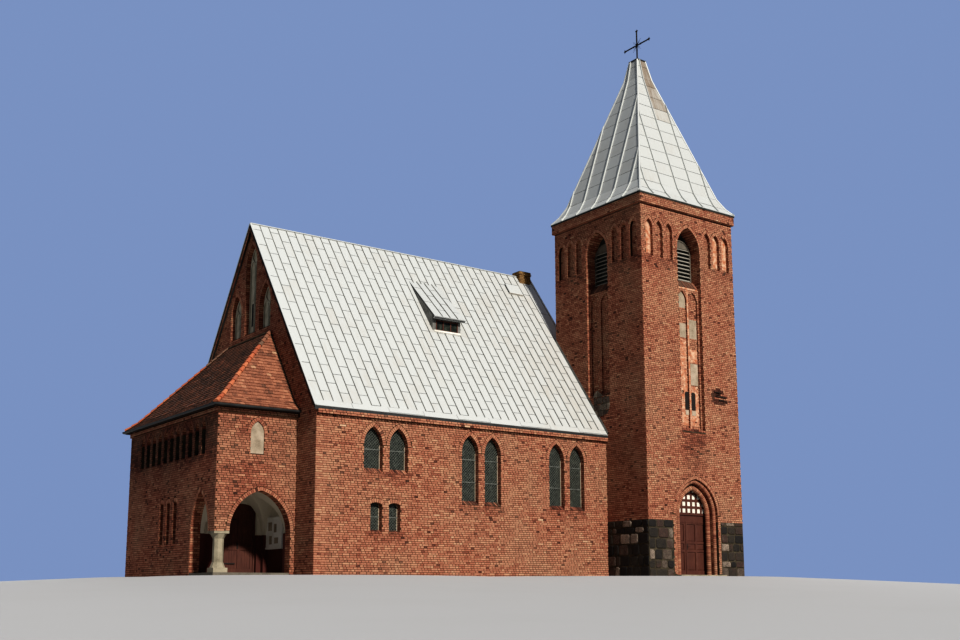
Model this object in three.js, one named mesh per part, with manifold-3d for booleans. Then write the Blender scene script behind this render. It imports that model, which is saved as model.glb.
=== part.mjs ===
// Brick village church: a nave under a steep sheet-metal roof, a square tower at its south-east
// corner, and a two-storey porch with an open corner loggia against the west gable.
// Units are millimetres and +Z is up. Building axes: +X runs east along the nave from the west
// gable, +Y runs north into the building from the nave's south face, and z = 0 is the ground.
import * as THREE from "three";
import { ConvexGeometry } from "three/addons/geometries/ConvexGeometry.js";
import { mergeVertices } from "three/addons/utils/BufferGeometryUtils.js";
import Module from "manifold-3d";

const wasm = await Module();
wasm.setup();

// Shared by the whole building
const GAP = 0.3;
const PAST = 200;
const FLOOR_TOP = 120;
const ARC_STEPS = 6;

// Nave
const NAVE_WIDTH = 11200;
const NAVE_LENGTH = 13700;
const NAVE_WALL = 510;
const EAVE_Z = 5730;
const RIDGE_Z = 13620;
const EAVE_OVERHANG = 115;
const VERGE_OVERHANG = 130;
const EAST_VERGE = 70;
const ROOF_DROP = 150;
const CORNICE_Z = 5468;
const CORNICE_OUT = 60;
const RIDGE_CAP_REACH = 130;
const RIDGE_CAP_RISE = 25;

// Nave windows, in pairs
const WINDOW_WIDTH = 755;
const WINDOW_APEX = 5200;
const WINDOW_RISE = 640;
const TALL_SILL = 2650;
const SHORT_SILL = 3610;
const PAIR_FIRST = 2760;
const PAIR_PITCH = 4150;
const PAIR_SPREAD = 520;
const SMALL_WIDTH = 465;
const SMALL_SILL = 1520;
const SMALL_HEAD = 2545;
const SMALL_RISE = 60;
const SMALL_SPREAD = 375;
const GLASS = 15;
const GLASS_MARGIN = 150;
const PORCH_GLASS_MARGIN = 50;

// Blind lancets of the two gables
const GABLE_RECESS = 200;
const GABLE_LIGHT = 60;
const GABLE_SILL = 9260;
const GABLE_LANCET_WIDTH = 960;
const GABLE_CENTRE_APEX = 12810;
const GABLE_SIDE_APEX = 11000;
const GABLE_SIDE_OFFSET = 1290;
const GABLE_LANCET_RISE = 820;
const GABLE_LIGHT_WIDTH = 326;
const GABLE_LIGHT_SPREAD = 221;
const GABLE_LIGHT_RISE = 261;

// Opening between the porch room and the nave
const PASSAGE_WIDTH = 1400;
const PASSAGE_SPRING = 2300;
const PASSAGE_RISE = 200;

// Shed dormer, roof hatch and chimney
const DORMER_WEST = 6550;
const DORMER_EAST = 7900;
const DORMER_FRONT = 2800;
const DORMER_SKIN = 80;
const DORMER_EAVE_Y = 2600;
const DORMER_EAVE_Z = 10300;
const DORMER_TOP_Y = 4560;
const DORMER_TOP_Z = 12180;
const DORMER_ROOF_DROP = 80;
const DORMER_ROOF_WEST = 6520;
const DORMER_ROOF_EAST = 8000;
const DORMER_SILL = 9780;
const DORMER_HEAD = 10190;
const DORMER_LIGHT_WEST = 6710;
const DORMER_LIGHT_EAST = 7770;
const HATCH_WEST = 11960;
const HATCH_EAST = 12660;
const HATCH_LOW_Y = 4810;
const HATCH_HIGH_Y = 5130;
const HATCH_RISE = 110;
const CHIMNEY_WEST = 13000;
const CHIMNEY_EAST = 13610;
const CHIMNEY_SOUTH = 5370;
const CHIMNEY_NORTH = 5880;
const CHIMNEY_TOP = 13850;
const CHIMNEY_HEIGHT = 1230;

// Porch
const PORCH_DEPTH = 2925;
const PORCH_SOUTH = 1400;
const PORCH_NORTH = 9800;
const PORCH_WALL = 360;
const PORCH_FLOOR_Z = 3200;
const PORCH_CEILING = 200;
const PORCH_STOREY_Z = PORCH_FLOOR_Z + PORCH_CEILING;
const PORCH_EAVE_Z = 5700;
const PORCH_EAVE_OUT = 190;
const PORCH_FASCIA = 110;
const PORCH_KINK_IN = 420;
const PORCH_KINK_RISE = 330;
const PORCH_RIDGE_Z = 8980;
const PORCH_RIDGE_HALF = 1840;
const PORCH_ROOF_DROP = 150;
const PORCH_OPEN_BELOW = 3;
const PORCH_CORNICE_Z = 5430;
const PORCH_CORNICE_TOP = 5585;
const PORCH_CORNICE_OUT = 50;
const GUTTER_WIDTH = 105;
const GUTTER_TOP = 5690;
const GUTTER_BOTTOM = 5595;

// Loggia in the porch's south-west corner
const ARCH_SPRING = 1480;
const ARCH_APEX = 2870;
const PIER = 530;
const SOUTH_ARCH_EAST = 180;
const WEST_ARCH_NORTH = 3450;
const LOGGIA_NORTH = 3670;
const CAPITAL_Z = 1220;
const CAPITAL_BAND = 90;
const CAPITAL_WIDTH = 510;
const SHAFT_WIDTH = 330;
const OCTAGON_FLAT = 0.45;
const COLUMN_FOOT_WIDTH = 470;
const COLUMN_BASE_WIDTH = 500;
const COLUMN_BASE_Z = 460;
const COLUMN_BASE_STEP = 150;

// Porch windows and niches
const LANCET_COUNT = 11;
const LANCET_FIRST = 2580;
const LANCET_PITCH = 587;
const LANCET_WIDTH = 350;
const LANCET_SILL = 4100;
const LANCET_APEX = 5285;
const LANCET_RISE = 300;
const SLIT_COUNT = 3;
const SLIT_FIRST = 4940;
const SLIT_PITCH = 635;
const SLIT_WIDTH = 335;
const SLIT_SILL = 1120;
const SLIT_HEAD = 2660;
const SLIT_RISE = 120;
const NICHE_X = -1490;
const NICHE_WIDTH = 500;
const NICHE_SILL = 4110;
const NICHE_APEX = 5225;
const NICHE_RISE = 400;
const NICHE_DEPTH = 90;

// Main door in the loggia's inner wall
const MAIN_DOOR_WEST = -1600;
const MAIN_DOOR_EAST = -360;
const MAIN_DOOR_SPRING = 2440;
const MAIN_DOOR_RISE = 155;
const MAIN_FRAME = 60;
const MAIN_FRAME_Y = 3800;
const MAIN_LEAF_TOP = 2360;
const BOARD_SOUTH = 2200;
const BOARD_NORTH = 3600;
const BOARD_BOTTOM = 970;
const BOARD_TOP = 2100;
const BOARD_DEPTH = 80;

// Tower
const TOWER_WEST = 13180;
const TOWER_SIDE = 5370;
const TOWER_SOUTH = -2310;
const TOWER_WALL = 780;
const TOWER_TOP = 15000;
const CORNICE_TOP = 15380;
const TOWER_CORNICE_OUT = 90;
const PLINTH_TOP = 2240;
const PORTAL_TOP = 4000;

// Tower recesses, belfry openings and niches, the same on every face
const RECESS_WIDTH = 1310;
const RECESS_DEPTH = 150;
const RECESS_SILL = 5900;
const WEST_RECESS_SILL = 7420;
const BELFRY_SILL = 12200;
const BELFRY_APEX = 14420;
const BELFRY_RISE = 950;
const SEAL_TOP = 11870;
const LIGHT_WIDTH = 500;
const LIGHT_DEPTH = 60;
const LIGHT_SPREAD = 310;
const LIGHT_HEAD = 11700;
const LIGHT_RISE = 420;
const LIGHT_SILL = 80;
const LOUVRE_SET = 420;
const LOUVRE_DEPTH = 110;
const LOUVRE_TOP = 13700;
const LOUVRE_COUNT = 9;
const SLAT_SLOT = 50;
const TOWER_NICHE_FIRST = 1120;
const TOWER_NICHE_PITCH = 560;
const TOWER_NICHE_COUNT = 3;
const TOWER_NICHE_WIDTH = 390;
const TOWER_NICHE_SILL = 12850;
const TOWER_NICHE_APEX = 14400;
const TOWER_NICHE_RISE = 340;
const TOWER_NICHE_DEPTH = 130;

// South portal of the tower
const PORTAL_HALF = 1200;
const PORTAL_SPRING = 2500;
const PORTAL_RADIUS = 1452;
const ORDER_STEPS = [
  { inset: 170, from: 130 },
  { inset: 325, from: 270 },
];
const SURROUND_DEPTH = 400;
const DOOR_FRAME = 60;
const DOOR_HALF = 943;
const LEAF_TOP = 2500;
const STEP_OUT = 310;
const STEP_SIDE = 90;
const LEAF_MEETING_X = 15613;

// Hinged leaves
const LEAF = 56;
const LEAF_SET = 18;
const LEAF_SIDE_GAP = 18;
const LEAF_MEETING_GAP = 10;
const LEAF_LIFT = 15;
const LEAF_HEAD_GAP = 12;
const PIVOT_RADIUS = 14;
const PIVOT_SIDES = 12;

// Helm roof and cross
const HELM_EAVE_HALF = 2800;
const HELM_KNEE_HALF = 2545;
const HELM_KNEE_Z = 15740;
const HELM_WAIST_HALF = 2290;
const HELM_WAIST_Z = 16200;
const HELM_NECK_HALF = 430;
const HELM_NECK_Z = 21900;
const HELM_TIP_HALF = 240;
const HELM_TIP_Z = 22830;
const HELM_DROP = 330;
const HELM_EAVE_EDGE = 60;
const CAP_HALF = 255;
const CAP_TOP = 22870;
const CROSS_TOP = 24430;
const CROSS_BAR_Z = 23660;
const CROSS_BAR_HALF = 850;
const CROSS_IRON = 50;
const CROSS_KNOB = 110;
const CROSS_FOOT = 160;
const CROSS_FOOT_TOP = 22980;

// Values worked out from the driving dimensions
const MIDDLE = NAVE_WIDTH / 2;
const ROOF_SLOPE = (RIDGE_Z - EAVE_Z) / (MIDDLE + EAVE_OVERHANG);
const TOWER_EAST = TOWER_WEST + TOWER_SIDE;
const TOWER_NORTH = TOWER_SOUTH + TOWER_SIDE;
const TOWER_X = TOWER_WEST + TOWER_SIDE / 2;
const TOWER_Y = TOWER_SOUTH + TOWER_SIDE / 2;
const TOWER_INNER = TOWER_SIDE / 2 - TOWER_WALL;
const WEST_EDGE = -PORCH_DEPTH - PORCH_EAVE_OUT - GUTTER_WIDTH;
const EAST_EDGE = TOWER_X + HELM_EAVE_HALF;
const SOUTH_EDGE = TOWER_SOUTH - STEP_OUT;
const NORTH_EDGE = NAVE_WIDTH + EAVE_OVERHANG;

// Materials
const finish = (color, roughness, metalness = 0) =>
  new THREE.MeshStandardMaterial({ color, roughness, metalness });
const BRICK = finish(0xa5583a, 0.9);
const GRANITE = finish(0x8b8078, 0.85);
const SHEET = finish(0xc9cac6, 0.45, 0.6);
const TILE = finish(0xa0553b, 0.85);
const PLASTER = finish(0xc8c2b4, 0.9);
const LIMESTONE = finish(0xcfc0a4, 0.8);
const TIMBER = finish(0x6b2f28, 0.6);
const LOUVRE_WOOD = finish(0xb9b5a6, 0.8);
const CONCRETE = finish(0x9c978c, 0.9);
const GLAZING = finish(0x2c3230, 0.2);
const IRON = finish(0x2d2d2c, 0.6, 0.7);
const GUTTER = finish(0x33383a, 0.5, 0.6);
const BOARD = finish(0xdad8d0, 0.6);

// Turns a closed three.js geometry into a solid.
function solid(geometry) {
  const bare = geometry.clone();
  bare.deleteAttribute("normal");
  bare.deleteAttribute("uv");
  const merged = mergeVertices(bare, 1e-3);
  return new wasm.Manifold(
    new wasm.Mesh({
      numProp: 3,
      vertProperties: merged.attributes.position.array,
      triVerts: new Uint32Array(merged.index.array),
    }),
  );
}

// The three.js geometry over a solid's surface.
function surface(body) {
  const { vertProperties, triVerts } = body.getMesh();
  const geometry = new THREE.BufferGeometry();
  geometry.setAttribute("position", new THREE.BufferAttribute(vertProperties, 3));
  geometry.setIndex(new THREE.BufferAttribute(triVerts, 1));
  return geometry;
}

// A solid moved, turned or mirrored by a matrix. A mirror turns each face round, so its corners
// are taken in the opposite order.
function placed(body, matrix) {
  const geometry = surface(body).applyMatrix4(matrix);
  if (matrix.determinant() < 0) geometry.index.array.reverse();
  return solid(geometry);
}

const join = (...parts) => parts.reduce((whole, part) => whole.add(part));
const cut = (body, ...tools) => tools.reduce((rest, tool) => rest.subtract(tool), body);

// A box between two corners given as ranges along X, Y and Z.
function block([x0, x1], [y0, y1], [z0, z1]) {
  const box = new THREE.BoxGeometry(x1 - x0, y1 - y0, z1 - z0);
  return solid(box.translate((x0 + x1) / 2, (y0 + y1) / 2, (z0 + z1) / 2));
}

// An outline drawn in (x, z) and pushed along Y.
function alongY(shape, y0, y1) {
  const geometry = new THREE.ExtrudeGeometry(shape, {
    depth: y1 - y0,
    bevelEnabled: false,
    curveSegments: ARC_STEPS,
  });
  return solid(geometry.translate(0, 0, -y1).rotateX(Math.PI / 2));
}

// An outline drawn in (y, z) and pushed along X.
function alongX(shape, x0, x1) {
  const geometry = new THREE.ExtrudeGeometry(shape, {
    depth: x1 - x0,
    bevelEnabled: false,
    curveSegments: ARC_STEPS,
  });
  const turn = new THREE.Matrix4().makeBasis(
    new THREE.Vector3(0, 1, 0),
    new THREE.Vector3(0, 0, 1),
    new THREE.Vector3(1, 0, 0),
  );
  return solid(geometry.translate(0, 0, x0).applyMatrix4(turn));
}

// A closed outline through straight corners.
const outline = (points) => new THREE.Shape(points.map(([a, b]) => new THREE.Vector2(a, b)));

// The convex solid over a cloud of corners.
const hull = (points) => solid(new ConvexGeometry(points.map((p) => new THREE.Vector3(...p))));

// The radius of the two arcs of a pointed arch, from its half width and rise.
const archRadius = (half, rise) => (rise * rise + half * half) / (2 * half);

// A pointed opening: upright sides up to the spring line, then two arcs that meet at the apex.
function pointed(centre, width, sill, apex, rise) {
  const half = width / 2;
  const radius = archRadius(half, rise);
  const sweep = Math.asin(rise / radius);
  const spring = apex - rise;
  const shape = new THREE.Shape();
  shape.moveTo(centre - half, sill);
  shape.lineTo(centre + half, sill);
  shape.absarc(centre + half - radius, spring, radius, 0, sweep, false);
  shape.absarc(centre - half + radius, spring, radius, Math.PI - sweep, Math.PI, false);
  return shape;
}

// An opening with a shallow segmental head.
function segmental(from, to, sill, spring, rise) {
  const half = (to - from) / 2;
  const radius = (rise * rise + half * half) / (2 * rise);
  const sweep = Math.asin(half / radius);
  const up = Math.PI / 2;
  const shape = new THREE.Shape();
  shape.moveTo(from, sill);
  shape.lineTo(to, sill);
  shape.absarc((from + to) / 2, spring + rise - radius, radius, up - sweep, up + sweep, false);
  return shape;
}

// Height of the nave roof's outer surface over a distance from either long wall's face.
const roofZ = (inward) => EAVE_Z + (inward + EAVE_OVERHANG) * ROOF_SLOPE;
const underRoof = (inward) => roofZ(inward) - ROOF_DROP - GAP;

const model = new THREE.Group();
const building = new THREE.Group();
building.position.set(-(WEST_EDGE + EAST_EDGE) / 2, -(SOUTH_EDGE + NORTH_EDGE) / 2, 0);
model.add(building);

// Adds a solid to a group as a named mesh.
function piece(name, body, material, group = building) {
  const geometry = surface(body).toNonIndexed();
  geometry.computeVertexNormals();
  const mesh = new THREE.Mesh(geometry, material);
  mesh.name = name;
  group.add(mesh);
}

// Turns a solid made for the south side into its mirror image on the north side of the nave.
const toNorth = (body) =>
  placed(body, new THREE.Matrix4().makeTranslation(0, NAVE_WIDTH, 0).scale(new THREE.Vector3(1, -1, 1)));

// Cross-section of a long nave wall in (y, z), with its two-course cornice under the eaves.
const naveWallSection = () =>
  outline([
    [0, 0],
    [NAVE_WALL, 0],
    [NAVE_WALL, underRoof(NAVE_WALL)],
    [-CORNICE_OUT, underRoof(-CORNICE_OUT)],
    [-CORNICE_OUT, CORNICE_Z],
    [0, CORNICE_Z],
  ]);

const pairCentre = (index) => PAIR_FIRST + index * PAIR_PITCH;
const throughWall = (shape) => alongY(shape, -PAST, NAVE_WALL + PAST);

// Cutters for one pair of pointed windows.
const windowPair = (index, sill) =>
  [-PAIR_SPREAD, PAIR_SPREAD].map((side) =>
    throughWall(pointed(pairCentre(index) + side, WINDOW_WIDTH, sill, WINDOW_APEX, WINDOW_RISE)),
  );

// Cutters for the two small windows low in the south wall.
const smallPair = () =>
  [-SMALL_SPREAD, SMALL_SPREAD].map((side) => {
    const centre = pairCentre(0) + side;
    const from = centre - SMALL_WIDTH / 2;
    const to = centre + SMALL_WIDTH / 2;
    const spring = SMALL_HEAD - SMALL_RISE;
    return throughWall(segmental(from, to, SMALL_SILL, spring, SMALL_RISE));
  });

// The cornice runs on over the end of the gable wall.
const corniceReturn = (x0, x1) =>
  alongX(
    outline([
      [-GAP, underRoof(-GAP)],
      [-CORNICE_OUT, underRoof(-CORNICE_OUT)],
      [-CORNICE_OUT, CORNICE_Z],
      [-GAP, CORNICE_Z],
    ]),
    x0,
    x1,
  );

function naveSouthWall() {
  const wall = alongX(naveWallSection(), NAVE_WALL + GAP, TOWER_WEST - GAP);
  const sills = [SHORT_SILL, TALL_SILL, TALL_SILL];
  const windows = sills.flatMap((sill, index) => windowPair(index, sill));
  return join(cut(wall, ...windows, ...smallPair()), corniceReturn(0, NAVE_WALL + PAST));
}

function naveNorthWall() {
  const east = NAVE_LENGTH - NAVE_WALL;
  const wall = alongX(naveWallSection(), NAVE_WALL + GAP, east - GAP);
  const windows = [0, 1, 2].flatMap((index) => windowPair(index, TALL_SILL));
  const west = corniceReturn(0, NAVE_WALL + PAST);
  return toNorth(join(cut(wall, ...windows), west, corniceReturn(east - PAST, NAVE_LENGTH)));
}

// One sheet of glass closes all the windows of a long wall from inside.
const naveGlass = (lowest) =>
  block(
    [pairCentre(0) - PAIR_SPREAD - WINDOW_WIDTH, pairCentre(2) + PAIR_SPREAD + WINDOW_WIDTH],
    [NAVE_WALL + GAP, NAVE_WALL + GAP + GLASS],
    [lowest - GLASS_MARGIN, WINDOW_APEX + GLASS_MARGIN],
  );

// A blind lancet in a gable, with two shallow lights in its back. The cut goes in along +X.
function gableLancet(centre, apex) {
  const recess = pointed(centre, GABLE_LANCET_WIDTH, GABLE_SILL, apex, GABLE_LANCET_RISE);
  const head = apex - GABLE_LANCET_RISE;
  const lights = [-GABLE_LIGHT_SPREAD, GABLE_LIGHT_SPREAD].map((side) =>
    alongX(
      pointed(centre + side, GABLE_LIGHT_WIDTH, GABLE_SILL, head, GABLE_LIGHT_RISE),
      0,
      GABLE_RECESS + GABLE_LIGHT,
    ),
  );
  return join(alongX(recess, -PAST, GABLE_RECESS), ...lights);
}

const gableLancets = () => [
  gableLancet(MIDDLE - GABLE_SIDE_OFFSET, GABLE_SIDE_APEX),
  gableLancet(MIDDLE, GABLE_CENTRE_APEX),
  gableLancet(MIDDLE + GABLE_SIDE_OFFSET, GABLE_SIDE_APEX),
];

// A gable wall between z = 0 and the underside of the roof, with its outer face at x = 0.
const gable = () =>
  alongX(
    outline([
      [0, 0],
      [NAVE_WIDTH, 0],
      [NAVE_WIDTH, underRoof(0)],
      [MIDDLE, underRoof(MIDDLE)],
      [0, underRoof(0)],
    ]),
    0,
    NAVE_WALL,
  );

const blindGable = () => cut(gable(), ...gableLancets());

// The plain opening from the porch room into the nave.
const passage = () =>
  alongX(
    segmental(
      MIDDLE - PASSAGE_WIDTH / 2,
      MIDDLE + PASSAGE_WIDTH / 2,
      FLOOR_TOP,
      PASSAGE_SPRING,
      PASSAGE_RISE,
    ),
    -PAST,
    NAVE_WALL + PAST,
  );

const westGable = () => cut(blindGable(), passage());

function eastGable() {
  const turn = new THREE.Matrix4().makeTranslation(NAVE_LENGTH, 0, 0).scale(new THREE.Vector3(-1, 1, 1));
  const turned = placed(blindGable(), turn);
  const behindTower = block(
    [TOWER_WEST - PAST, TOWER_EAST],
    [-PAST, TOWER_NORTH + GAP],
    [-PAST, RIDGE_Z],
  );
  return cut(turned, behindTower);
}

// One slope of the nave roof in (y, z), from the eaves to the ridge.
const slopeSection = () =>
  outline([
    [-EAVE_OVERHANG, EAVE_Z - ROOF_DROP],
    [MIDDLE - GAP / 2, roofZ(MIDDLE) - ROOF_DROP],
    [MIDDLE - GAP / 2, roofZ(MIDDLE)],
    [-EAVE_OVERHANG, EAVE_Z],
  ]);

const wholeSlope = () => alongX(slopeSection(), -VERGE_OVERHANG, NAVE_LENGTH + EAST_VERGE);

function southSlope() {
  const tower = block([TOWER_WEST - GAP, TOWER_EAST], [-PAST * 2, TOWER_NORTH + GAP], [0, RIDGE_Z]);
  return cut(wholeSlope(), tower);
}

// The folded sheet over the ridge, which stops at the chimney.
function ridgeCap() {
  const drop = RIDGE_CAP_REACH * ROOF_SLOPE;
  const section = outline([
    [MIDDLE - RIDGE_CAP_REACH, RIDGE_Z - drop + GAP],
    [MIDDLE, RIDGE_Z + GAP],
    [MIDDLE + RIDGE_CAP_REACH, RIDGE_Z - drop + GAP],
    [MIDDLE + RIDGE_CAP_REACH, RIDGE_Z - drop + RIDGE_CAP_RISE],
    [MIDDLE, RIDGE_Z + RIDGE_CAP_RISE],
    [MIDDLE - RIDGE_CAP_REACH, RIDGE_Z - drop + RIDGE_CAP_RISE],
  ]);
  return alongX(section, -VERGE_OVERHANG, CHIMNEY_WEST - GAP);
}

// Everything under the outer surface of both roof slopes, a hair higher than the sheet itself.
const roofMass = () =>
  alongX(
    outline([
      [-EAVE_OVERHANG, 0],
      [NAVE_WIDTH + EAVE_OVERHANG, 0],
      [NAVE_WIDTH + EAVE_OVERHANG, EAVE_Z + GAP],
      [MIDDLE, RIDGE_Z + GAP],
      [-EAVE_OVERHANG, EAVE_Z + GAP],
    ]),
    -PAST,
    NAVE_LENGTH + PAST,
  );

const chimney = () =>
  cut(
    block(
      [CHIMNEY_WEST, CHIMNEY_EAST],
      [CHIMNEY_SOUTH, CHIMNEY_NORTH],
      [CHIMNEY_TOP - CHIMNEY_HEIGHT, CHIMNEY_TOP],
    ),
    roofMass(),
  );

// Dormer roof's outer surface over a distance along Y.
const dormerSlope = (DORMER_TOP_Z - DORMER_EAVE_Z) / (DORMER_TOP_Y - DORMER_EAVE_Y);
const dormerZ = (y) => DORMER_EAVE_Z + (y - DORMER_EAVE_Y) * dormerSlope;

function dormerRoof() {
  const section = outline([
    [DORMER_EAVE_Y, DORMER_EAVE_Z - DORMER_ROOF_DROP],
    [MIDDLE, dormerZ(MIDDLE) - DORMER_ROOF_DROP],
    [MIDDLE, dormerZ(MIDDLE)],
    [DORMER_EAVE_Y, DORMER_EAVE_Z],
  ]);
  return cut(alongX(section, DORMER_ROOF_WEST, DORMER_ROOF_EAST), roofMass());
}

// The dormer's front with its window opening, and a cheek on each side down to the roof.
function dormerWalls() {
  const top = (y) => dormerZ(y) - DORMER_ROOF_DROP - GAP;
  const section = outline([
    [DORMER_FRONT, 0],
    [MIDDLE, 0],
    [MIDDLE, top(MIDDLE)],
    [DORMER_FRONT, top(DORMER_FRONT)],
  ]);
  const inside = block(
    [DORMER_WEST + DORMER_SKIN, DORMER_EAST - DORMER_SKIN],
    [DORMER_FRONT + DORMER_SKIN, MIDDLE + PAST],
    [0, RIDGE_Z],
  );
  const light = block(
    [DORMER_LIGHT_WEST, DORMER_LIGHT_EAST],
    [DORMER_FRONT - PAST, DORMER_FRONT + DORMER_SKIN + PAST],
    [DORMER_SILL, DORMER_HEAD],
  );
  return cut(alongX(section, DORMER_WEST, DORMER_EAST), roofMass(), inside, light);
}

function dormerWindow() {
  const pane = block(
    [DORMER_LIGHT_WEST + GAP, DORMER_LIGHT_EAST - GAP],
    [DORMER_FRONT + GLASS, DORMER_FRONT + GLASS * 3],
    [DORMER_SILL + GAP, DORMER_HEAD - GAP],
  );
  return cut(pane, roofMass());
}

// A flat raised panel that follows the roof slope.
const roofHatch = () =>
  alongX(
    outline([
      [HATCH_LOW_Y, roofZ(HATCH_LOW_Y) + GAP],
      [HATCH_HIGH_Y, roofZ(HATCH_HIGH_Y) + GAP],
      [HATCH_HIGH_Y, roofZ(HATCH_HIGH_Y) + HATCH_RISE],
      [HATCH_LOW_Y, roofZ(HATCH_LOW_Y) + HATCH_RISE],
    ]),
    HATCH_WEST,
    HATCH_EAST,
  );

function naveFloor() {
  const inner = [NAVE_WALL + GAP, NAVE_WIDTH - NAVE_WALL - GAP];
  return block([NAVE_WALL + GAP, TOWER_WEST - GAP], inner, [0, FLOOR_TOP]);
}

function addNave() {
  piece("nave_floor", naveFloor(), CONCRETE);
  piece("nave_south_wall", naveSouthWall(), BRICK);
  piece("nave_north_wall", naveNorthWall(), BRICK);
  piece("west_gable_wall", westGable(), BRICK);
  piece("east_gable_wall", eastGable(), BRICK);
  piece("south_window_glass", naveGlass(SMALL_SILL), GLAZING);
  piece("north_window_glass", toNorth(naveGlass(TALL_SILL)), GLAZING);
  piece("nave_roof_south", southSlope(), SHEET);
  piece("nave_roof_north", toNorth(wholeSlope()), SHEET);
  piece("ridge_cap", ridgeCap(), SHEET);
  piece("dormer_walls", dormerWalls(), SHEET);
  piece("dormer_roof", dormerRoof(), SHEET);
  piece("dormer_window", dormerWindow(), GLAZING);
  piece("roof_hatch", roofHatch(), SHEET);
  piece("chimney", chimney(), BRICK);
}

// Corners of a level ring around the porch roof, moved in from its eave line.
function porchRing(inward, z) {
  const west = -PORCH_DEPTH - PORCH_EAVE_OUT + inward;
  const south = PORCH_SOUTH - PORCH_EAVE_OUT + inward;
  const north = PORCH_NORTH + PORCH_EAVE_OUT - inward;
  return [
    [west, south, z],
    [west, north, z],
    [-GAP, south, z],
    [-GAP, north, z],
  ];
}

// The porch roof's mass down from its outer surface: a lean-to hipped at both ends, with its
// tiles kicked out a little over the eaves.
function porchRoofMass(lower) {
  const eave = porchRing(0, PORCH_EAVE_Z - lower);
  const kink = porchRing(PORCH_KINK_IN, PORCH_EAVE_Z + PORCH_KINK_RISE - lower);
  const base = porchRing(0, PORCH_EAVE_Z - PORCH_FASCIA - lower * PORCH_OPEN_BELOW);
  const ridge = [-PORCH_RIDGE_HALF, PORCH_RIDGE_HALF].map((side) => [
    -GAP,
    MIDDLE + side,
    PORCH_RIDGE_Z - lower,
  ]);
  return join(hull([...base, ...eave]), hull([...eave, ...kink]), hull([...kink, ...ridge]));
}

const porchRoof = () => cut(porchRoofMass(0), porchInside());

// The space under the porch roof, which the walls run up to.
const porchInside = () => porchRoofMass(PORCH_ROOF_DROP);

// Keeps of a wall only what stands clear under the porch roof.
function underPorchRoof(wall) {
  const clearance = porchRoofMass(PORCH_ROOF_DROP + GAP);
  const below = block([-PORCH_DEPTH * 2, PAST], [-PAST, NAVE_WIDTH + PAST], [-PAST, PORCH_CORNICE_Z]);
  return wall.intersect(join(clearance, below));
}

// The arch over the loggia's south side springs from the corner column, its west twin too.
const southArch = () =>
  join(
    alongY(
      pointed(
        -(PORCH_DEPTH - PIER + SOUTH_ARCH_EAST) / 2,
        PORCH_DEPTH - PIER - SOUTH_ARCH_EAST,
        -PAST,
        ARCH_APEX,
        ARCH_APEX - ARCH_SPRING,
      ),
      0,
      PORCH_SOUTH + PORCH_WALL + PAST,
    ),
    block(
      [-PORCH_DEPTH - PAST, -SOUTH_ARCH_EAST - PIER],
      [0, PORCH_SOUTH + PORCH_WALL + PAST],
      [-PAST, ARCH_SPRING],
    ),
  );

const westArch = () =>
  join(
    alongX(
      pointed(
        (PORCH_SOUTH + PIER + WEST_ARCH_NORTH) / 2,
        WEST_ARCH_NORTH - PORCH_SOUTH - PIER,
        -PAST,
        ARCH_APEX,
        ARCH_APEX - ARCH_SPRING,
      ),
      -PORCH_DEPTH - PAST,
      -PORCH_DEPTH + PORCH_WALL + PAST,
    ),
    block(
      [-PORCH_DEPTH - PAST, -PORCH_DEPTH + PORCH_WALL + PAST],
      [PORCH_SOUTH, WEST_ARCH_NORTH - PIER],
      [-PAST, ARCH_SPRING],
    ),
  );

// Narrow pier that carries the south arch beside the nave, as the column does at the corner.
const southPier = () =>
  block([-SOUTH_ARCH_EAST, -GAP], [PORCH_SOUTH, PORCH_SOUTH + PORCH_WALL], [0, ARCH_SPRING - GAP]);

// A blind plastered niche high in the porch's end walls.
const porchNiche = () =>
  alongY(
    pointed(NICHE_X, NICHE_WIDTH, NICHE_SILL, NICHE_APEX, NICHE_RISE),
    PORCH_SOUTH - PAST,
    PORCH_SOUTH + NICHE_DEPTH,
  );

// An end wall of the porch with its cornice band, made for the south side.
function porchEndWall() {
  const wall = block([-PORCH_DEPTH, -GAP], [PORCH_SOUTH, PORCH_SOUTH + PORCH_WALL], [0, PORCH_RIDGE_Z]);
  const cornice = block(
    [-PORCH_DEPTH - PORCH_CORNICE_OUT, -GAP],
    [PORCH_SOUTH - PORCH_CORNICE_OUT, PORCH_SOUTH + PORCH_WALL],
    [PORCH_CORNICE_Z, PORCH_CORNICE_TOP],
  );
  return underPorchRoof(cut(join(wall, cornice), porchNiche()));
}

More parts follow.
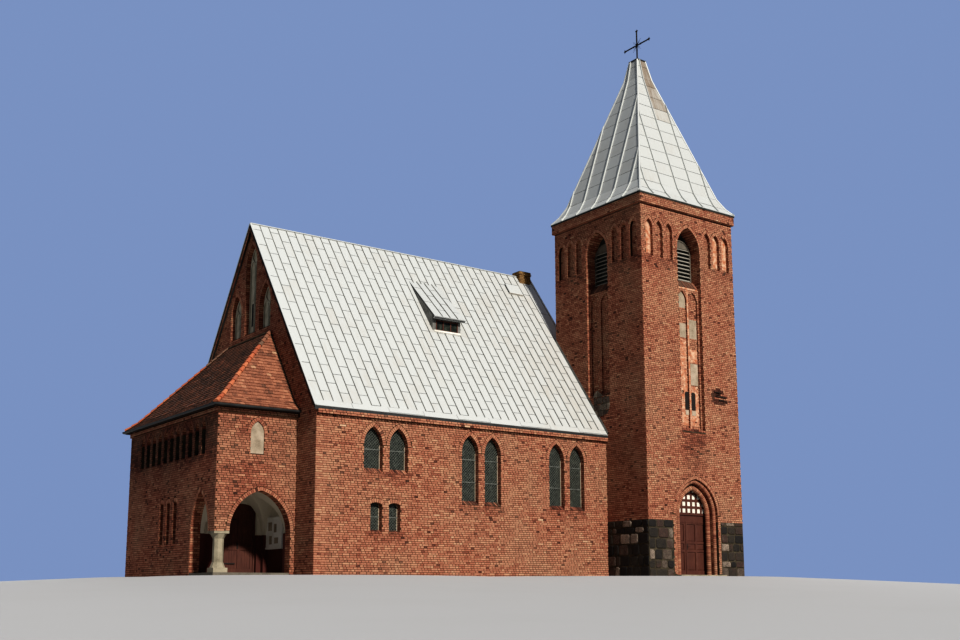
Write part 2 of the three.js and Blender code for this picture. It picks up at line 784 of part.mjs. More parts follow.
// The porch's west wall, as its lower and its upper storey.
function porchWestWalls() {
  const y = [PORCH_SOUTH + PORCH_WALL + GAP, PORCH_NORTH - PORCH_WALL - GAP];
  const wall = block([-PORCH_DEPTH, -PORCH_DEPTH + PORCH_WALL], y, [0, PORCH_RIDGE_Z]);
  const cornice = block(
    [-PORCH_DEPTH - PORCH_CORNICE_OUT, -PORCH_DEPTH + PORCH_WALL],
    y,
    [PORCH_CORNICE_Z, PORCH_CORNICE_TOP],
  );
  const through = (shape) => alongX(shape, -PORCH_DEPTH - PAST, -PORCH_DEPTH + PORCH_WALL + PAST);
  const lancets = Array.from({ length: LANCET_COUNT }, (_, i) => {
    const centre = LANCET_FIRST + i * LANCET_PITCH;
    return through(pointed(centre, LANCET_WIDTH, LANCET_SILL, LANCET_APEX, LANCET_RISE));
  });
  const slits = Array.from({ length: SLIT_COUNT }, (_, i) => {
    const centre = SLIT_FIRST + i * SLIT_PITCH;
    return through(pointed(centre, SLIT_WIDTH, SLIT_SILL, SLIT_HEAD, SLIT_RISE));
  });
  const whole = underPorchRoof(cut(join(wall, cornice), westArch(), ...lancets, ...slits));
  const upto = (z0, z1) => block([-PORCH_DEPTH * 2, PAST], y, [z0, z1]);
  return [
    whole.intersect(upto(-PAST, PORCH_STOREY_Z)),
    whole.intersect(upto(PORCH_STOREY_Z + GAP, PORCH_RIDGE_Z)),
  ];
}

// Stone column under the corner of the loggia: a flared foot, a chamfered shaft and a capital
// that widens up to the springing of both arches.
function cornerColumn() {
  const x = -PORCH_DEPTH + PIER / 2;
  const y = PORCH_SOUTH + PIER / 2;
  const octagon = (width, z) => {
    const half = width / 2;
    const near = half * OCTAGON_FLAT;
    return [
      [x - half, y - near, z],
      [x - half, y + near, z],
      [x + half, y - near, z],
      [x + half, y + near, z],
      [x - near, y - half, z],
      [x + near, y - half, z],
      [x - near, y + half, z],
      [x + near, y + half, z],
    ];
  };
  const square = (width, z0, z1) =>
    block([x - width / 2, x + width / 2], [y - width / 2, y + width / 2], [z0, z1]);
  const bottom = FLOOR_TOP + GAP;
  const footZ = bottom + COLUMN_BASE_STEP;
  const bandZ = ARCH_SPRING - GAP - CAPITAL_BAND;
  return join(
    square(COLUMN_BASE_WIDTH, bottom, footZ),
    hull([...octagon(COLUMN_FOOT_WIDTH, footZ), ...octagon(SHAFT_WIDTH, COLUMN_BASE_Z)]),
    hull([...octagon(SHAFT_WIDTH, COLUMN_BASE_Z), ...octagon(SHAFT_WIDTH, CAPITAL_Z)]),
    hull([...octagon(SHAFT_WIDTH, CAPITAL_Z), ...octagon(CAPITAL_WIDTH, bandZ)]),
    square(PIER, bandZ, ARCH_SPRING - GAP),
  );
}

function porchFloor() {
  const room = block(
    [-PORCH_DEPTH + PORCH_WALL + GAP, -GAP],
    [PORCH_SOUTH + PORCH_WALL + GAP, PORCH_NORTH - PORCH_WALL - GAP],
    [0, FLOOR_TOP],
  );
  const loggia = block(
    [-PORCH_DEPTH, -SOUTH_ARCH_EAST - GAP],
    [PORCH_SOUTH, WEST_ARCH_NORTH - GAP],
    [0, FLOOR_TOP],
  );
  return join(room, loggia);
}

const porchUpperFloor = () =>
  block(
    [-PORCH_DEPTH + PORCH_WALL + GAP, -GAP],
    [PORCH_SOUTH + PORCH_WALL + GAP, PORCH_NORTH - PORCH_WALL - GAP],
    [PORCH_FLOOR_Z, PORCH_STOREY_Z],
  );

const LOGGIA_WALL_Y = [LOGGIA_NORTH, LOGGIA_NORTH + PORCH_WALL];

// A plain stretch of the loggia's inner wall, beside the main door.
const innerWall = (x) => block(x, LOGGIA_WALL_Y, [FLOOR_TOP + GAP, PORCH_FLOOR_Z - GAP]);

// The wall over the main door, with its segmental head.
function innerWallHead() {
  const z = [MAIN_DOOR_SPRING + GAP, PORCH_FLOOR_Z - GAP];
  const over = block([MAIN_DOOR_WEST, MAIN_DOOR_EAST], LOGGIA_WALL_Y, z);
  const head = segmental(MAIN_DOOR_WEST, MAIN_DOOR_EAST, FLOOR_TOP, MAIN_DOOR_SPRING, MAIN_DOOR_RISE);
  return cut(over, alongY(head, 0, MIDDLE));
}

// Door frame under the segmental head, open where the leaf hangs.
function mainDoorFrame() {
  const west = MAIN_DOOR_WEST + GAP;
  const east = MAIN_DOOR_EAST - GAP;
  const plate = alongY(
    segmental(west, east, FLOOR_TOP + GAP, MAIN_DOOR_SPRING - GAP, MAIN_DOOR_RISE - GAP),
    MAIN_FRAME_Y,
    MAIN_FRAME_Y + MAIN_FRAME,
  );
  const doorway = block(
    [west + MAIN_FRAME, east - MAIN_FRAME],
    [0, MIDDLE],
    [0, MAIN_LEAF_TOP + LEAF_HEAD_GAP],
  );
  return cut(plate, doorway);
}

// A door leaf with a pivot pin at its foot and head, carried by the floor and the frame's head.
function leaf([x0, x1], y, top, pinX) {
  const pinY = y + LEAF / 2;
  const panel = block([x0, x1], [y, y + LEAF], [FLOOR_TOP + LEAF_LIFT, top]);
  const foot = FLOOR_TOP + GAP;
  const head = top + LEAF_HEAD_GAP - GAP;
  const pin = new THREE.CylinderGeometry(PIVOT_RADIUS, PIVOT_RADIUS, head - foot, PIVOT_SIDES);
  return join(panel, solid(pin.rotateX(Math.PI / 2).translate(pinX, pinY, (foot + head) / 2)));
}

function mainDoor() {
  const side = MAIN_FRAME + GAP + LEAF_SIDE_GAP;
  const x = [MAIN_DOOR_WEST + side, MAIN_DOOR_EAST - side];
  return leaf(x, MAIN_FRAME_Y, MAIN_LEAF_TOP, x[0] + LEAF / 2);
}

// Gutters along the three eaves of the porch.
function porchGutter() {
  const outer = (out) => block(
    [-PORCH_DEPTH - PORCH_EAVE_OUT - out, -GAP],
    [PORCH_SOUTH - PORCH_EAVE_OUT - out, PORCH_NORTH + PORCH_EAVE_OUT + out],
    [GUTTER_BOTTOM, GUTTER_TOP],
  );
  const inner = block(
    [-PORCH_DEPTH - PORCH_EAVE_OUT - GAP, PAST],
    [PORCH_SOUTH - PORCH_EAVE_OUT - GAP, PORCH_NORTH + PORCH_EAVE_OUT + GAP],
    [GUTTER_BOTTOM - PAST, GUTTER_TOP + PAST],
  );
  return cut(outer(GUTTER_WIDTH), inner);
}

const porchGlass = (from, to, sill, head) =>
  block(
    [-PORCH_DEPTH + PORCH_WALL + GAP, -PORCH_DEPTH + PORCH_WALL + GAP + GLASS],
    [from - LANCET_WIDTH / 2 - PORCH_GLASS_MARGIN, to + LANCET_WIDTH / 2 + PORCH_GLASS_MARGIN],
    [sill - PORCH_GLASS_MARGIN, head + PORCH_GLASS_MARGIN],
  );

function addPorch() {
  const westFace = -PORCH_DEPTH + PORCH_WALL;
  const springing = block([-SOUTH_ARCH_EAST - PAST, PAST], [0, MIDDLE], [-PAST, ARCH_SPRING]);
  const openSouth = cut(porchEndWall(), southArch(), springing);
  const [lowerWest, upperWest] = porchWestWalls();
  const lastLancet = LANCET_FIRST + (LANCET_COUNT - 1) * LANCET_PITCH;
  const lastSlit = SLIT_FIRST + (SLIT_COUNT - 1) * SLIT_PITCH;
  piece("porch_floor", porchFloor(), CONCRETE);
  piece("porch_south_wall", openSouth, BRICK);
  piece("porch_south_pier", southPier(), BRICK);
  piece("porch_west_wall", lowerWest, BRICK);
  piece("porch_west_wall_upper", upperWest, BRICK);
  piece("porch_north_wall", toNorth(porchEndWall()), BRICK);
  piece("corner_column", cornerColumn(), LIMESTONE);
  piece("loggia_wall_west", innerWall([westFace + GAP, MAIN_DOOR_WEST - GAP]), PLASTER);
  piece("loggia_wall_east", innerWall([MAIN_DOOR_EAST + GAP, -GAP]), PLASTER);
  piece("loggia_wall_head", innerWallHead(), PLASTER);
  piece("main_door_frame", mainDoorFrame(), TIMBER);
  piece("main_door", mainDoor(), TIMBER);
  piece("porch_upper_floor", porchUpperFloor(), PLASTER);
  piece("porch_upper_glass", porchGlass(LANCET_FIRST, lastLancet, LANCET_SILL, LANCET_APEX), GLAZING);
  piece("porch_lower_glass", porchGlass(SLIT_FIRST, lastSlit, SLIT_SILL, SLIT_HEAD), GLAZING);
  piece("porch_roof", porchRoof(), TILE);
  piece("porch_gutter", porchGutter(), GUTTER);
  const boardY = [BOARD_SOUTH, BOARD_NORTH];
  piece("notice_board", block([-BOARD_DEPTH, -GAP], boardY, [BOARD_BOTTOM, BOARD_TOP]), BOARD);
}

// Turns a solid made for the tower's south face onto another face, by quarter turns.
const aroundTower = (body, quarter) =>
  placed(
    body,
    new THREE.Matrix4()
      .makeTranslation(TOWER_X, TOWER_Y, 0)
      .multiply(new THREE.Matrix4().makeRotationZ((quarter * Math.PI) / 2))
      .multiply(new THREE.Matrix4().makeTranslation(-TOWER_X, -TOWER_Y, 0)),
  );

// Everything cut into one face of the tower: the tall recess, its blind lights, the belfry
// opening above its sloping sill, and three niches on each side of it.
function towerFaceCuts(sill) {
  const inward = (depth) => TOWER_SOUTH + depth;
  const recess = alongY(
    pointed(TOWER_X, RECESS_WIDTH, sill, BELFRY_APEX, BELFRY_RISE),
    inward(-PAST),
    inward(RECESS_DEPTH),
  );
  const belfry = alongY(
    pointed(TOWER_X, RECESS_WIDTH, BELFRY_SILL, BELFRY_APEX, BELFRY_RISE),
    inward(-PAST),
    inward(TOWER_WALL + PAST),
  );
  const weathering = alongX(
    outline([
      [inward(0), SEAL_TOP],
      [inward(RECESS_DEPTH), SEAL_TOP],
      [inward(LOUVRE_SET), BELFRY_SILL],
      [inward(0), BELFRY_SILL],
    ]),
    TOWER_X - RECESS_WIDTH / 2,
    TOWER_X + RECESS_WIDTH / 2,
  );
  const lights = [-LIGHT_SPREAD, LIGHT_SPREAD].map((side) =>
    alongY(
      pointed(TOWER_X + side, LIGHT_WIDTH, sill + LIGHT_SILL, LIGHT_HEAD, LIGHT_RISE),
      inward(0),
      inward(RECESS_DEPTH + LIGHT_DEPTH),
    ),
  );
  const niches = [-1, 1].flatMap((side) =>
    Array.from({ length: TOWER_NICHE_COUNT }, (_, i) => {
      const x = TOWER_X + side * (TOWER_NICHE_FIRST + i * TOWER_NICHE_PITCH);
      const shape = pointed(x, TOWER_NICHE_WIDTH, TOWER_NICHE_SILL, TOWER_NICHE_APEX, TOWER_NICHE_RISE);
      return alongY(shape, inward(-PAST), inward(TOWER_NICHE_DEPTH));
    }),
  );
  return join(recess, belfry, weathering, ...lights, ...niches);
}

// A pointed portal outline, drawn in from the outer arch by an inset with the same arc centres.
function portalShape(inset, sill) {
  const half = PORTAL_HALF - inset;
  const radius = PORTAL_RADIUS - inset;
  const rise = Math.sqrt(radius ** 2 - (radius - half) ** 2);
  return pointed(TOWER_X, half * 2, sill, PORTAL_SPRING + rise, rise);
}

// The whole tower wall, from the ground to the cornice, with every face's cuts and the portal.
function towerShell() {
  const outer = block([TOWER_WEST, TOWER_EAST], [TOWER_SOUTH, TOWER_NORTH], [0, TOWER_TOP - GAP]);
  const inner = block(
    [TOWER_X - TOWER_INNER, TOWER_X + TOWER_INNER],
    [TOWER_Y - TOWER_INNER, TOWER_Y + TOWER_INNER],
    [-PAST, TOWER_TOP + PAST],
  );
  const portal = alongY(portalShape(0, -PAST), TOWER_SOUTH - PAST, TOWER_SOUTH + TOWER_WALL + PAST);
  const faces = [RECESS_SILL, RECESS_SILL, RECESS_SILL, WEST_RECESS_SILL];
  const cuts = faces.map((sill, quarter) => aroundTower(towerFaceCuts(sill), quarter));
  return cut(outer, inner, portal, ...cuts);
}

// Regions that divide the tower wall into slabs, each a hair apart from the next.
function towerRegions() {
  const all = [TOWER_WEST - PAST, TOWER_EAST + PAST];
  const west = [TOWER_WEST - PAST, TOWER_X - TOWER_INNER];
  const east = [TOWER_X + TOWER_INNER, TOWER_EAST + PAST];
  const south = [TOWER_SOUTH - PAST, TOWER_Y - TOWER_INNER];
  const north = [TOWER_Y + TOWER_INNER, TOWER_NORTH + PAST];
  const between = [south[1] + GAP, north[0] - GAP];
  const shaft = [PLINTH_TOP + GAP, TOWER_TOP];
  const foot = [-PAST, PLINTH_TOP];
  const sideOfPortal = [PLINTH_TOP + GAP, PORTAL_TOP - GAP];
  const leftHalf = [all[0], TOWER_X - GAP / 2];
  const rightHalf = [TOWER_X + GAP / 2, all[1]];
  return {
    tower_plinth_south_left: block(leftHalf, south, foot),
    tower_plinth_south_right: block(rightHalf, south, foot),
    tower_plinth_west: block(west, between, foot),
    tower_plinth_north: block(all, north, foot),
    tower_plinth_east: block(east, between, foot),
    tower_wall_portal_left: block(leftHalf, south, sideOfPortal),
    tower_wall_portal_right: block(rightHalf, south, sideOfPortal),
    tower_wall_south: block(all, south, [PORTAL_TOP, TOWER_TOP]),
    tower_wall_west: block(west, between, shaft),
    tower_wall_north: block(all, north, shaft),
    tower_wall_east: block(east, between, shaft),
  };
}

// The moulded brick orders of the portal, stepping in behind one another.
function portalSurround() {
  const front = TOWER_SOUTH + ORDER_STEPS[0].from;
  const back = TOWER_SOUTH + SURROUND_DEPTH;
  const blank = alongY(portalShape(GAP, 0), front, back);
  const openings = ORDER_STEPS.map(({ inset }, i) => {
    const next = ORDER_STEPS[i + 1];
    return alongY(portalShape(inset, -PAST), front - PAST, next ? TOWER_SOUTH + next.from : back + PAST);
  });
  return cut(blank, ...openings);
}

// Frame and fanlight behind the surround, open where the two leaves hang.
function towerDoorFrame() {
  const y = TOWER_SOUTH + SURROUND_DEPTH + GAP;
  const plate = alongY(portalShape(GAP, FLOOR_TOP + GAP), y, y + DOOR_FRAME);
  const doorway = block(
    [TOWER_X - DOOR_HALF, TOWER_X + DOOR_HALF],
    [TOWER_SOUTH, TOWER_Y],
    [0, LEAF_TOP + LEAF_HEAD_GAP],
  );
  return cut(plate, doorway);
}

function towerLeaf(left) {
  const y = TOWER_SOUTH + SURROUND_DEPTH + LEAF_SET;
  const reach = DOOR_HALF - LEAF_SIDE_GAP;
  const meeting = LEAF_MEETING_GAP / 2;
  return left
    ? leaf([TOWER_X - reach, LEAF_MEETING_X - meeting], y, LEAF_TOP, TOWER_X - reach + LEAF / 2)
    : leaf([LEAF_MEETING_X + meeting, TOWER_X + reach], y, LEAF_TOP, TOWER_X + reach - LEAF / 2);
}

// The worn stone step, which runs in through the portal as its threshold.
function portalStep() {
  const half = PORTAL_HALF + STEP_SIDE;
  const tread = block(
    [TOWER_X - half, TOWER_X + half],
    [TOWER_SOUTH - STEP_OUT, TOWER_SOUTH - GAP],
    [0, FLOOR_TOP],
  );
  const inner = PORTAL_HALF - ORDER_STEPS[1].inset - GAP;
  const neck = block(
    [TOWER_X - inner, TOWER_X + inner],
    [TOWER_SOUTH - STEP_OUT, TOWER_SOUTH + SURROUND_DEPTH + PAST],
    [0, FLOOR_TOP],
  );
  const sill = block(
    [TOWER_X - PORTAL_HALF + GAP, TOWER_X + PORTAL_HALF - GAP],
    [TOWER_SOUTH + SURROUND_DEPTH + GAP, TOWER_Y - TOWER_INNER - GAP],
    [0, FLOOR_TOP],
  );
  return join(tread, neck, sill);
}

// Belfry louvres: a timber board with slots between its slats, under a closed pointed head.
function louvres() {
  const y0 = TOWER_SOUTH + LOUVRE_SET;
  const width = RECESS_WIDTH - GAP * 2;
  const shape = pointed(TOWER_X, width, BELFRY_SILL + GAP, BELFRY_APEX - GAP, BELFRY_RISE);
  const pitch = (LOUVRE_TOP - BELFRY_SILL) / LOUVRE_COUNT;
  const inner = RECESS_WIDTH / 2 - SLAT_SLOT;
  const slots = Array.from({ length: LOUVRE_COUNT }, (_, i) => {
    const z = BELFRY_SILL + SLAT_SLOT + i * pitch;
    return block(
      [TOWER_X - inner, TOWER_X + inner],
      [y0 - PAST, y0 + LOUVRE_DEPTH / 2],
      [z, z + pitch - SLAT_SLOT],
    );
  });
  return cut(alongY(shape, y0, y0 + LOUVRE_DEPTH), ...slots);
}

// A square block about the tower's axis.
const towerBlock = (half, z) =>
  block([TOWER_X - half, TOWER_X + half], [TOWER_Y - half, TOWER_Y + half], z);

const towerCornice = () =>
  cut(
    towerBlock(TOWER_SIDE / 2 + TOWER_CORNICE_OUT, [TOWER_TOP, CORNICE_TOP - GAP]),
    towerBlock(TOWER_INNER, [TOWER_TOP - PAST, CORNICE_TOP + PAST]),
  );

// Corners of a level square about the tower's axis.
const square = (half, z) =>
  [-half, half].flatMap((x) => [-half, half].map((y) => [TOWER_X + x, TOWER_Y + y, z]));

// The steep helm roof's mass, lowered to give its own inside.
function helmMass(lower) {
  const levels = [
    square(HELM_EAVE_HALF, CORNICE_TOP - lower),
    square(HELM_EAVE_HALF, CORNICE_TOP + HELM_EAVE_EDGE - lower),
    square(HELM_KNEE_HALF, HELM_KNEE_Z - lower),
    square(HELM_WAIST_HALF, HELM_WAIST_Z - lower),
    square(HELM_NECK_HALF, HELM_NECK_Z - lower),
    square(HELM_TIP_HALF, HELM_TIP_Z - lower),
  ];
  return join(...levels.slice(1).map((level, i) => hull([...levels[i], ...level])));
}

const helmCap = () => towerBlock(CAP_HALF, [HELM_TIP_Z, CAP_TOP]);
const helmRoof = () => cut(join(helmMass(0), helmCap()), helmMass(HELM_DROP));

// Wrought-iron cross on the cap, its bar running across the nave.
function towerCross() {
  const iron = CROSS_IRON / 2;
  const knob = CROSS_KNOB / 2;
  const foot = CROSS_FOOT / 2;
  const bar = (halfX, centreY, halfY, z) =>
    block([TOWER_X - halfX, TOWER_X + halfX], [centreY - halfY, centreY + halfY], z);
  const ends = [-1, 1].map((side) => {
    const y = TOWER_Y + side * (CROSS_BAR_HALF - knob);
    return bar(iron, y, knob, [CROSS_BAR_Z - knob, CROSS_BAR_Z + knob]);
  });
  return join(
    bar(foot, TOWER_Y, foot, [CAP_TOP + GAP, CROSS_FOOT_TOP]),
    bar(iron, TOWER_Y, iron, [CAP_TOP + GAP, CROSS_TOP]),
    bar(iron, TOWER_Y, knob, [CROSS_TOP - CROSS_KNOB, CROSS_TOP]),
    bar(iron, TOWER_Y, CROSS_BAR_HALF, [CROSS_BAR_Z - iron, CROSS_BAR_Z + iron]),
    ...ends,
  );
}

function addTower() {
  const shell = towerShell();
  for (const [name, region] of Object.entries(towerRegions()))
    piece(name, shell.intersect(region), name.includes("plinth") ? GRANITE : BRICK);
  const insideX = [TOWER_X - TOWER_INNER + GAP, TOWER_X + TOWER_INNER - GAP];
  const insideY = [TOWER_Y - TOWER_INNER + GAP, TOWER_Y + TOWER_INNER - GAP];
  piece("tower_floor", block(insideX, insideY, [0, FLOOR_TOP]), CONCRETE);
  piece("portal_step", portalStep(), GRANITE);
  piece("portal_surround", portalSurround(), BRICK);
  piece("tower_door_frame", towerDoorFrame(), TIMBER);
  piece("tower_door_left", towerLeaf(true), TIMBER);
  piece("tower_door_right", towerLeaf(false), TIMBER);
  ["south", "east", "north", "west"].forEach((side, quarter) =>
    piece("belfry_louvres_" + side, aroundTower(louvres(), quarter), LOUVRE_WOOD),
  );
  piece("tower_cornice", towerCornice(), BRICK);
  piece("helm_roof", helmRoof(), SHEET);
  piece("tower_cross", towerCross(), IRON);
}

addNave();
addPorch();
addTower();

export default model;
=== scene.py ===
"""Dresses the village church: walls laid brick by brick, seamed sheet roofs, tiles, glazing, doors.

Lengths are metres. Building axes: +X runs east along the nave from the west gable, +Y runs north
from the nave's south face, +Z is up. CORNER moves building coordinates into the frame.
"""
import math
import random

import bpy
import numpy as np
from bpy.props import FloatProperty, FloatVectorProperty, PointerProperty
from bpy.types import Operator, Panel, PropertyGroup
from mathutils import Matrix, Vector
from mathutils.geometry import tessellate_polygon


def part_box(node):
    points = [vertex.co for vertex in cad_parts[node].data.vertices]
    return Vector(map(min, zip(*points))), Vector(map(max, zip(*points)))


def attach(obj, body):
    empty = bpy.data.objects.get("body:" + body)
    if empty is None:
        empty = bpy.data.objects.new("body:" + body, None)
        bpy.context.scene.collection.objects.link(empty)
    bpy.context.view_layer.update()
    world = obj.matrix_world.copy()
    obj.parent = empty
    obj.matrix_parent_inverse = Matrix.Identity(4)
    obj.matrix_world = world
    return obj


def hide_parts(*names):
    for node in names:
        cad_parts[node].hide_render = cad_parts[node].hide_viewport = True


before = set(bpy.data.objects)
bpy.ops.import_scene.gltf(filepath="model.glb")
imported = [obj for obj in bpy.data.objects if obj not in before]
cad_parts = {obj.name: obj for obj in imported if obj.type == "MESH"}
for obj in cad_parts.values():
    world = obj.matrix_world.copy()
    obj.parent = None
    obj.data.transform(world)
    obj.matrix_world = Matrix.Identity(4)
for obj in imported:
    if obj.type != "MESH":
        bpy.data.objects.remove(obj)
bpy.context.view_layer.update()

bl_info = {
    "name": "Village Church",
    "version": (1, 0, 0),
    "blender": (4, 5, 0),
    "location": "3D View > Sidebar > Church",
    "description": "Builds the visible surface of a brick village church round its packed solids",
    "category": "Add Mesh",
}

# Nave
NAVE_WIDTH = 11.2
NAVE_LENGTH = 13.7
MIDDLE = NAVE_WIDTH / 2
EAVE_Z = 5.73
RIDGE_Z = 13.62
EAVE_OUT = 0.115
VERGE = 0.13
EAST_VERGE = 0.07
CORNICE_Z = 5.468
# The pairs of pointed windows: their centres, half the distance in a pair, and their sills' heights
PAIR_CENTRES = (2.76, 6.91, 11.06)
PAIR_SPREAD = 0.52
SOUTH_SILLS = (3.61, 2.65, 2.65)
NORTH_SILLS = (2.65, 2.65, 2.65)
GLASS_IN = 0.2
RING_DEPTH = 0.13

# The nave roof's slopes, and the wall's edge under them
SLOPE_RUN = MIDDLE + EAVE_OUT
SLOPE_RISE = RIDGE_Z - EAVE_Z
SLOPE = math.hypot(SLOPE_RUN, SLOPE_RISE)
ROOF_EDGE = 0.15

# The standing seams' width and height, and the finishes of the pieces of sheet in their order
ROOF_SEAM = (0.014, 0.045)
ROOF_FINISHES = "sheet dark_metal old_paint seam"

# The chimney's west, east, south and north sides, its foot and its top
CHIMNEY = (13.0, 13.61, 5.37, 5.88, 12.62, 13.85)

# Dormer and roof hatch, by their ends along the nave, distance from its south face, and heights
DORMER_EAVE = (6.5, 8.02)
DORMER_FRONT = 2.8
DORMER_MULLIONS = (6.73, 7.06, 7.42, 7.75)
DORMER_RAILS = (9.79, 10.18)
HATCH = (11.94, 12.68)
HATCH_FOOT = 4.81

# The opening between a gable window's two lights, from its spring line
TRACERY_EYE = (
    (0, 0.1), (0.13, 0.2), (0.24, 0.34), (0.2, 0.48), (0.1, 0.62), (0, 0.71), (-0.1, 0.62), (-0.2, 0.48),
    (-0.24, 0.34), (-0.13, 0.2),
)

# Porch
PORCH_DEPTH = 2.925
PORCH_SOUTH = 1.4
PORCH_NORTH = 9.8
PORCH_WALL = 0.36
PORCH_EAVE_Z = 5.7
PORCH_OUT = 0.19
PORCH_KINK = (0.42, 0.33)
PORCH_TOP_Z = 8.98
PORCH_TOP_HALF = 1.84
PORCH_CORNICE = (5.43, 5.585)
PORCH_CORNICE_OUT = 0.05
SPRING_Z = 1.48
LOGGIA_NORTH = 3.67
GUTTER_Z = 5.688
BOARD = (-3.6, -2.2, 0.97, 2.1)
CEILING_Z = 3.2

# Tower
TOWER_WEST = 13.18
TOWER_HALF = 2.685
TOWER_X = TOWER_WEST + TOWER_HALF
TOWER_Y = 0.375
TOWER_NORTH = TOWER_Y + TOWER_HALF
ABUTMENT = (TOWER_NORTH + EAVE_OUT) / SLOPE_RUN * SLOPE
TOWER_TOP = 15.0
TOWER_CORNICE_TOP = 15.38
TOWER_CORNICE_OUT = 0.09
PLINTH_TOP = 2.24
RECESS_IN = 0.15
LIGHT_IN = 0.21
NICHE_IN = 0.13
RECESS_SILLS = {"south": 5.9, "east": 5.9, "north": 5.9, "west": 7.42}
BELFRY_SILL = 12.2
SLATS = 9
SLAT_PITCH = 0.165
SLAT_TILT = 36
SEAL_TOP = 11.87
DOOR_IN = 0.418

# Burnt patches of the tower's south wall, as centres with half widths and half heights
SCARS = ((1.5, 7.62, 0.34, 0.13), (1.55, 7.2, 0.38, 0.12), (1.75, 7.4, 0.42, 0.045), (1.25, 7.4, 0.1, 0.3))

# The patch of rubble in the tower's west wall
RUBBLE = [(-0.36, 6.5), (0.5, 6.62), (0.66, 6.95), (0.62, 7.3), (0.2, 7.42), (-0.1, 7.66), (-0.3, 7.5)]

# Helm and the cap on it, as half widths and heights from foot to top
HELM_RINGS = ((2.8, 15.44), (2.545, 15.74), (2.29, 16.2), (0.43, 21.9), (0.24, 22.83))
HELM_CAP = ((0.24, 22.78), (0.265, 22.83), (0.275, 22.835), (0.275, 22.875), (0.26, 22.882), (0.07, 22.95))
CROSS_Z = 23.66

FLOOR_TOP = 0.12
UP = (0.0, 0.0, 1.0)

# Corners and middle of the ground plan, and the floor's fall: distances from the plan with their levels
GROUND_MIDDLE = (7.0, 4.0)
FOOTPRINT = (
    (-2.925, 1.4), (0.0, 0.0), (13.18, -2.62), (18.55, -2.31), (18.55, 3.06), (13.7, 11.2), (0.0, 11.2),
    (-2.925, 9.8),
)
GROUND = (
    (0.0, 0.0), (0.3, 0.0), (3.0, -0.12), (10.0, -0.45), (20.0, -0.95), (35.0, -1.7), (60.0, -2.2),
    (400.0, -2.2),
)

# Tone of the sills' bricks on edge, and sizes of field stones, hip tiles and lead cames
SILL_TONE = 0.2
STONE_SIZE = 0.4
STONE_JOINT = 0.04
HIP_TILE_RADIUS = 0.1
HIP_TILE_PITCH = 0.33
CAME_WIDTH = 0.009
CAME_PITCH = 0.11

gable_low, gable_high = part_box("west_gable_wall")
CORNER = np.array([gable_low.x, (gable_low.y + gable_high.y - NAVE_WIDTH) / 2, 0.0])


def linear(code):
    """An sRGB hex colour as linear red, green, blue and alpha."""
    parts = [int(code[i : i + 2], 16) / 255 for i in (1, 3, 5)]
    return tuple(p / 12.92 if p <= 0.04045 else ((p + 0.055) / 1.055) ** 2.4 for p in parts) + (1.0,)


class BrickworkSettings(PropertyGroup):
    """Sizes and colours of the brickwork."""

    course: FloatProperty(
        name="Course", description="Height of a brick with its bed joint", default=0.077, unit="LENGTH"
    )
    joint: FloatProperty(
        name="Bed joint", description="Thickness of the level mortar joints", default=0.016, unit="LENGTH"
    )
    upright: FloatProperty(
        name="Upright joint", description="Thickness of the mortar joints between the bricks of a course",
        default=0.02, unit="LENGTH",
    )
    stretcher: FloatProperty(
        name="Stretcher", description="Length of a brick laid along the wall", default=0.25, unit="LENGTH"
    )
    header: FloatProperty(
        name="Header", description="Width of a brick laid into the wall", default=0.118, unit="LENGTH"
    )
    proud: FloatProperty(
        name="Relief", description="How far brick faces stand out of the mortar", default=0.011, unit="LENGTH"
    )
    burnt: FloatProperty(
        name="Burnt headers", description="Share of headers fired nearly black", default=0.045,
        subtype="FACTOR",
    )
    mortar: FloatVectorProperty(
        name="Mortar", description="Colour of the lime mortar", subtype="COLOR", size=4,
        default=linear("#3D2C1E"),
    )


class RoofSettings(PropertyGroup):
    """Sizes and colours of the roof coverings."""

    bay: FloatProperty(
        name="Sheet width", description="Distance between the nave roof's seams", default=0.385, unit="LENGTH"
    )
    sheet: FloatProperty(
        name="Sheet length", description="Distance between cross joints in a bay", default=0.92, unit="LENGTH"
    )
    helm_bay: FloatProperty(
        name="Helm sheet width", description="Distance between the helm's seams", default=0.96, unit="LENGTH"
    )
    helm_sheet: FloatProperty(
        name="Helm sheet length", description="Distance between the helm's cross joints", default=0.62,
        unit="LENGTH",
    )
    tile: FloatProperty(
        name="Tile width", description="Width of a plain clay tile", default=0.175, unit="LENGTH"
    )
    tile_row: FloatProperty(
        name="Tile row", description="Length of a tile that shows under the next row", default=0.15,
        unit="LENGTH",
    )
    metal: FloatVectorProperty(
        name="Sheet metal", description="Colour of the weathered roof sheets", subtype="COLOR", size=4,
        default=linear("#B2B4B1"),
    )


class StageSettings(PropertyGroup):
    """Where the camera stands, and the floor's colour."""

    lens: FloatProperty(
        name="Focal length", description="Focal length of the camera in millimetres", default=42.66,
        subtype="DISTANCE_CAMERA",
    )
    heading: FloatProperty(
        name="Heading", description="Direction of view from east towards north",
        default=math.radians(53.94), subtype="ANGLE",
    )
    pitch: FloatProperty(
        name="Pitch", description="Tilt of the camera above the horizon", default=math.radians(9.59),
        subtype="ANGLE",
    )
    roll: FloatProperty(
        name="Roll", description="Roll of the camera about its line of sight", default=math.radians(-0.1),
        subtype="ANGLE",
    )
    rise: FloatProperty(
        name="Shift", description="Upward shift of the lens as a share of the picture's width",
        default=0.0833,
    )
    standpoint: FloatVectorProperty(
        name="Standpoint", description="Place of the camera from the nave's south-west corner",
        default=(-17.944, -34.044, -0.536), size=3, subtype="XYZ", unit="LENGTH",
    )
    floor: FloatVectorProperty(
        name="Floor", description="Colour of the floor", subtype="COLOR", size=4, default=linear("#A9A8A6")
    )


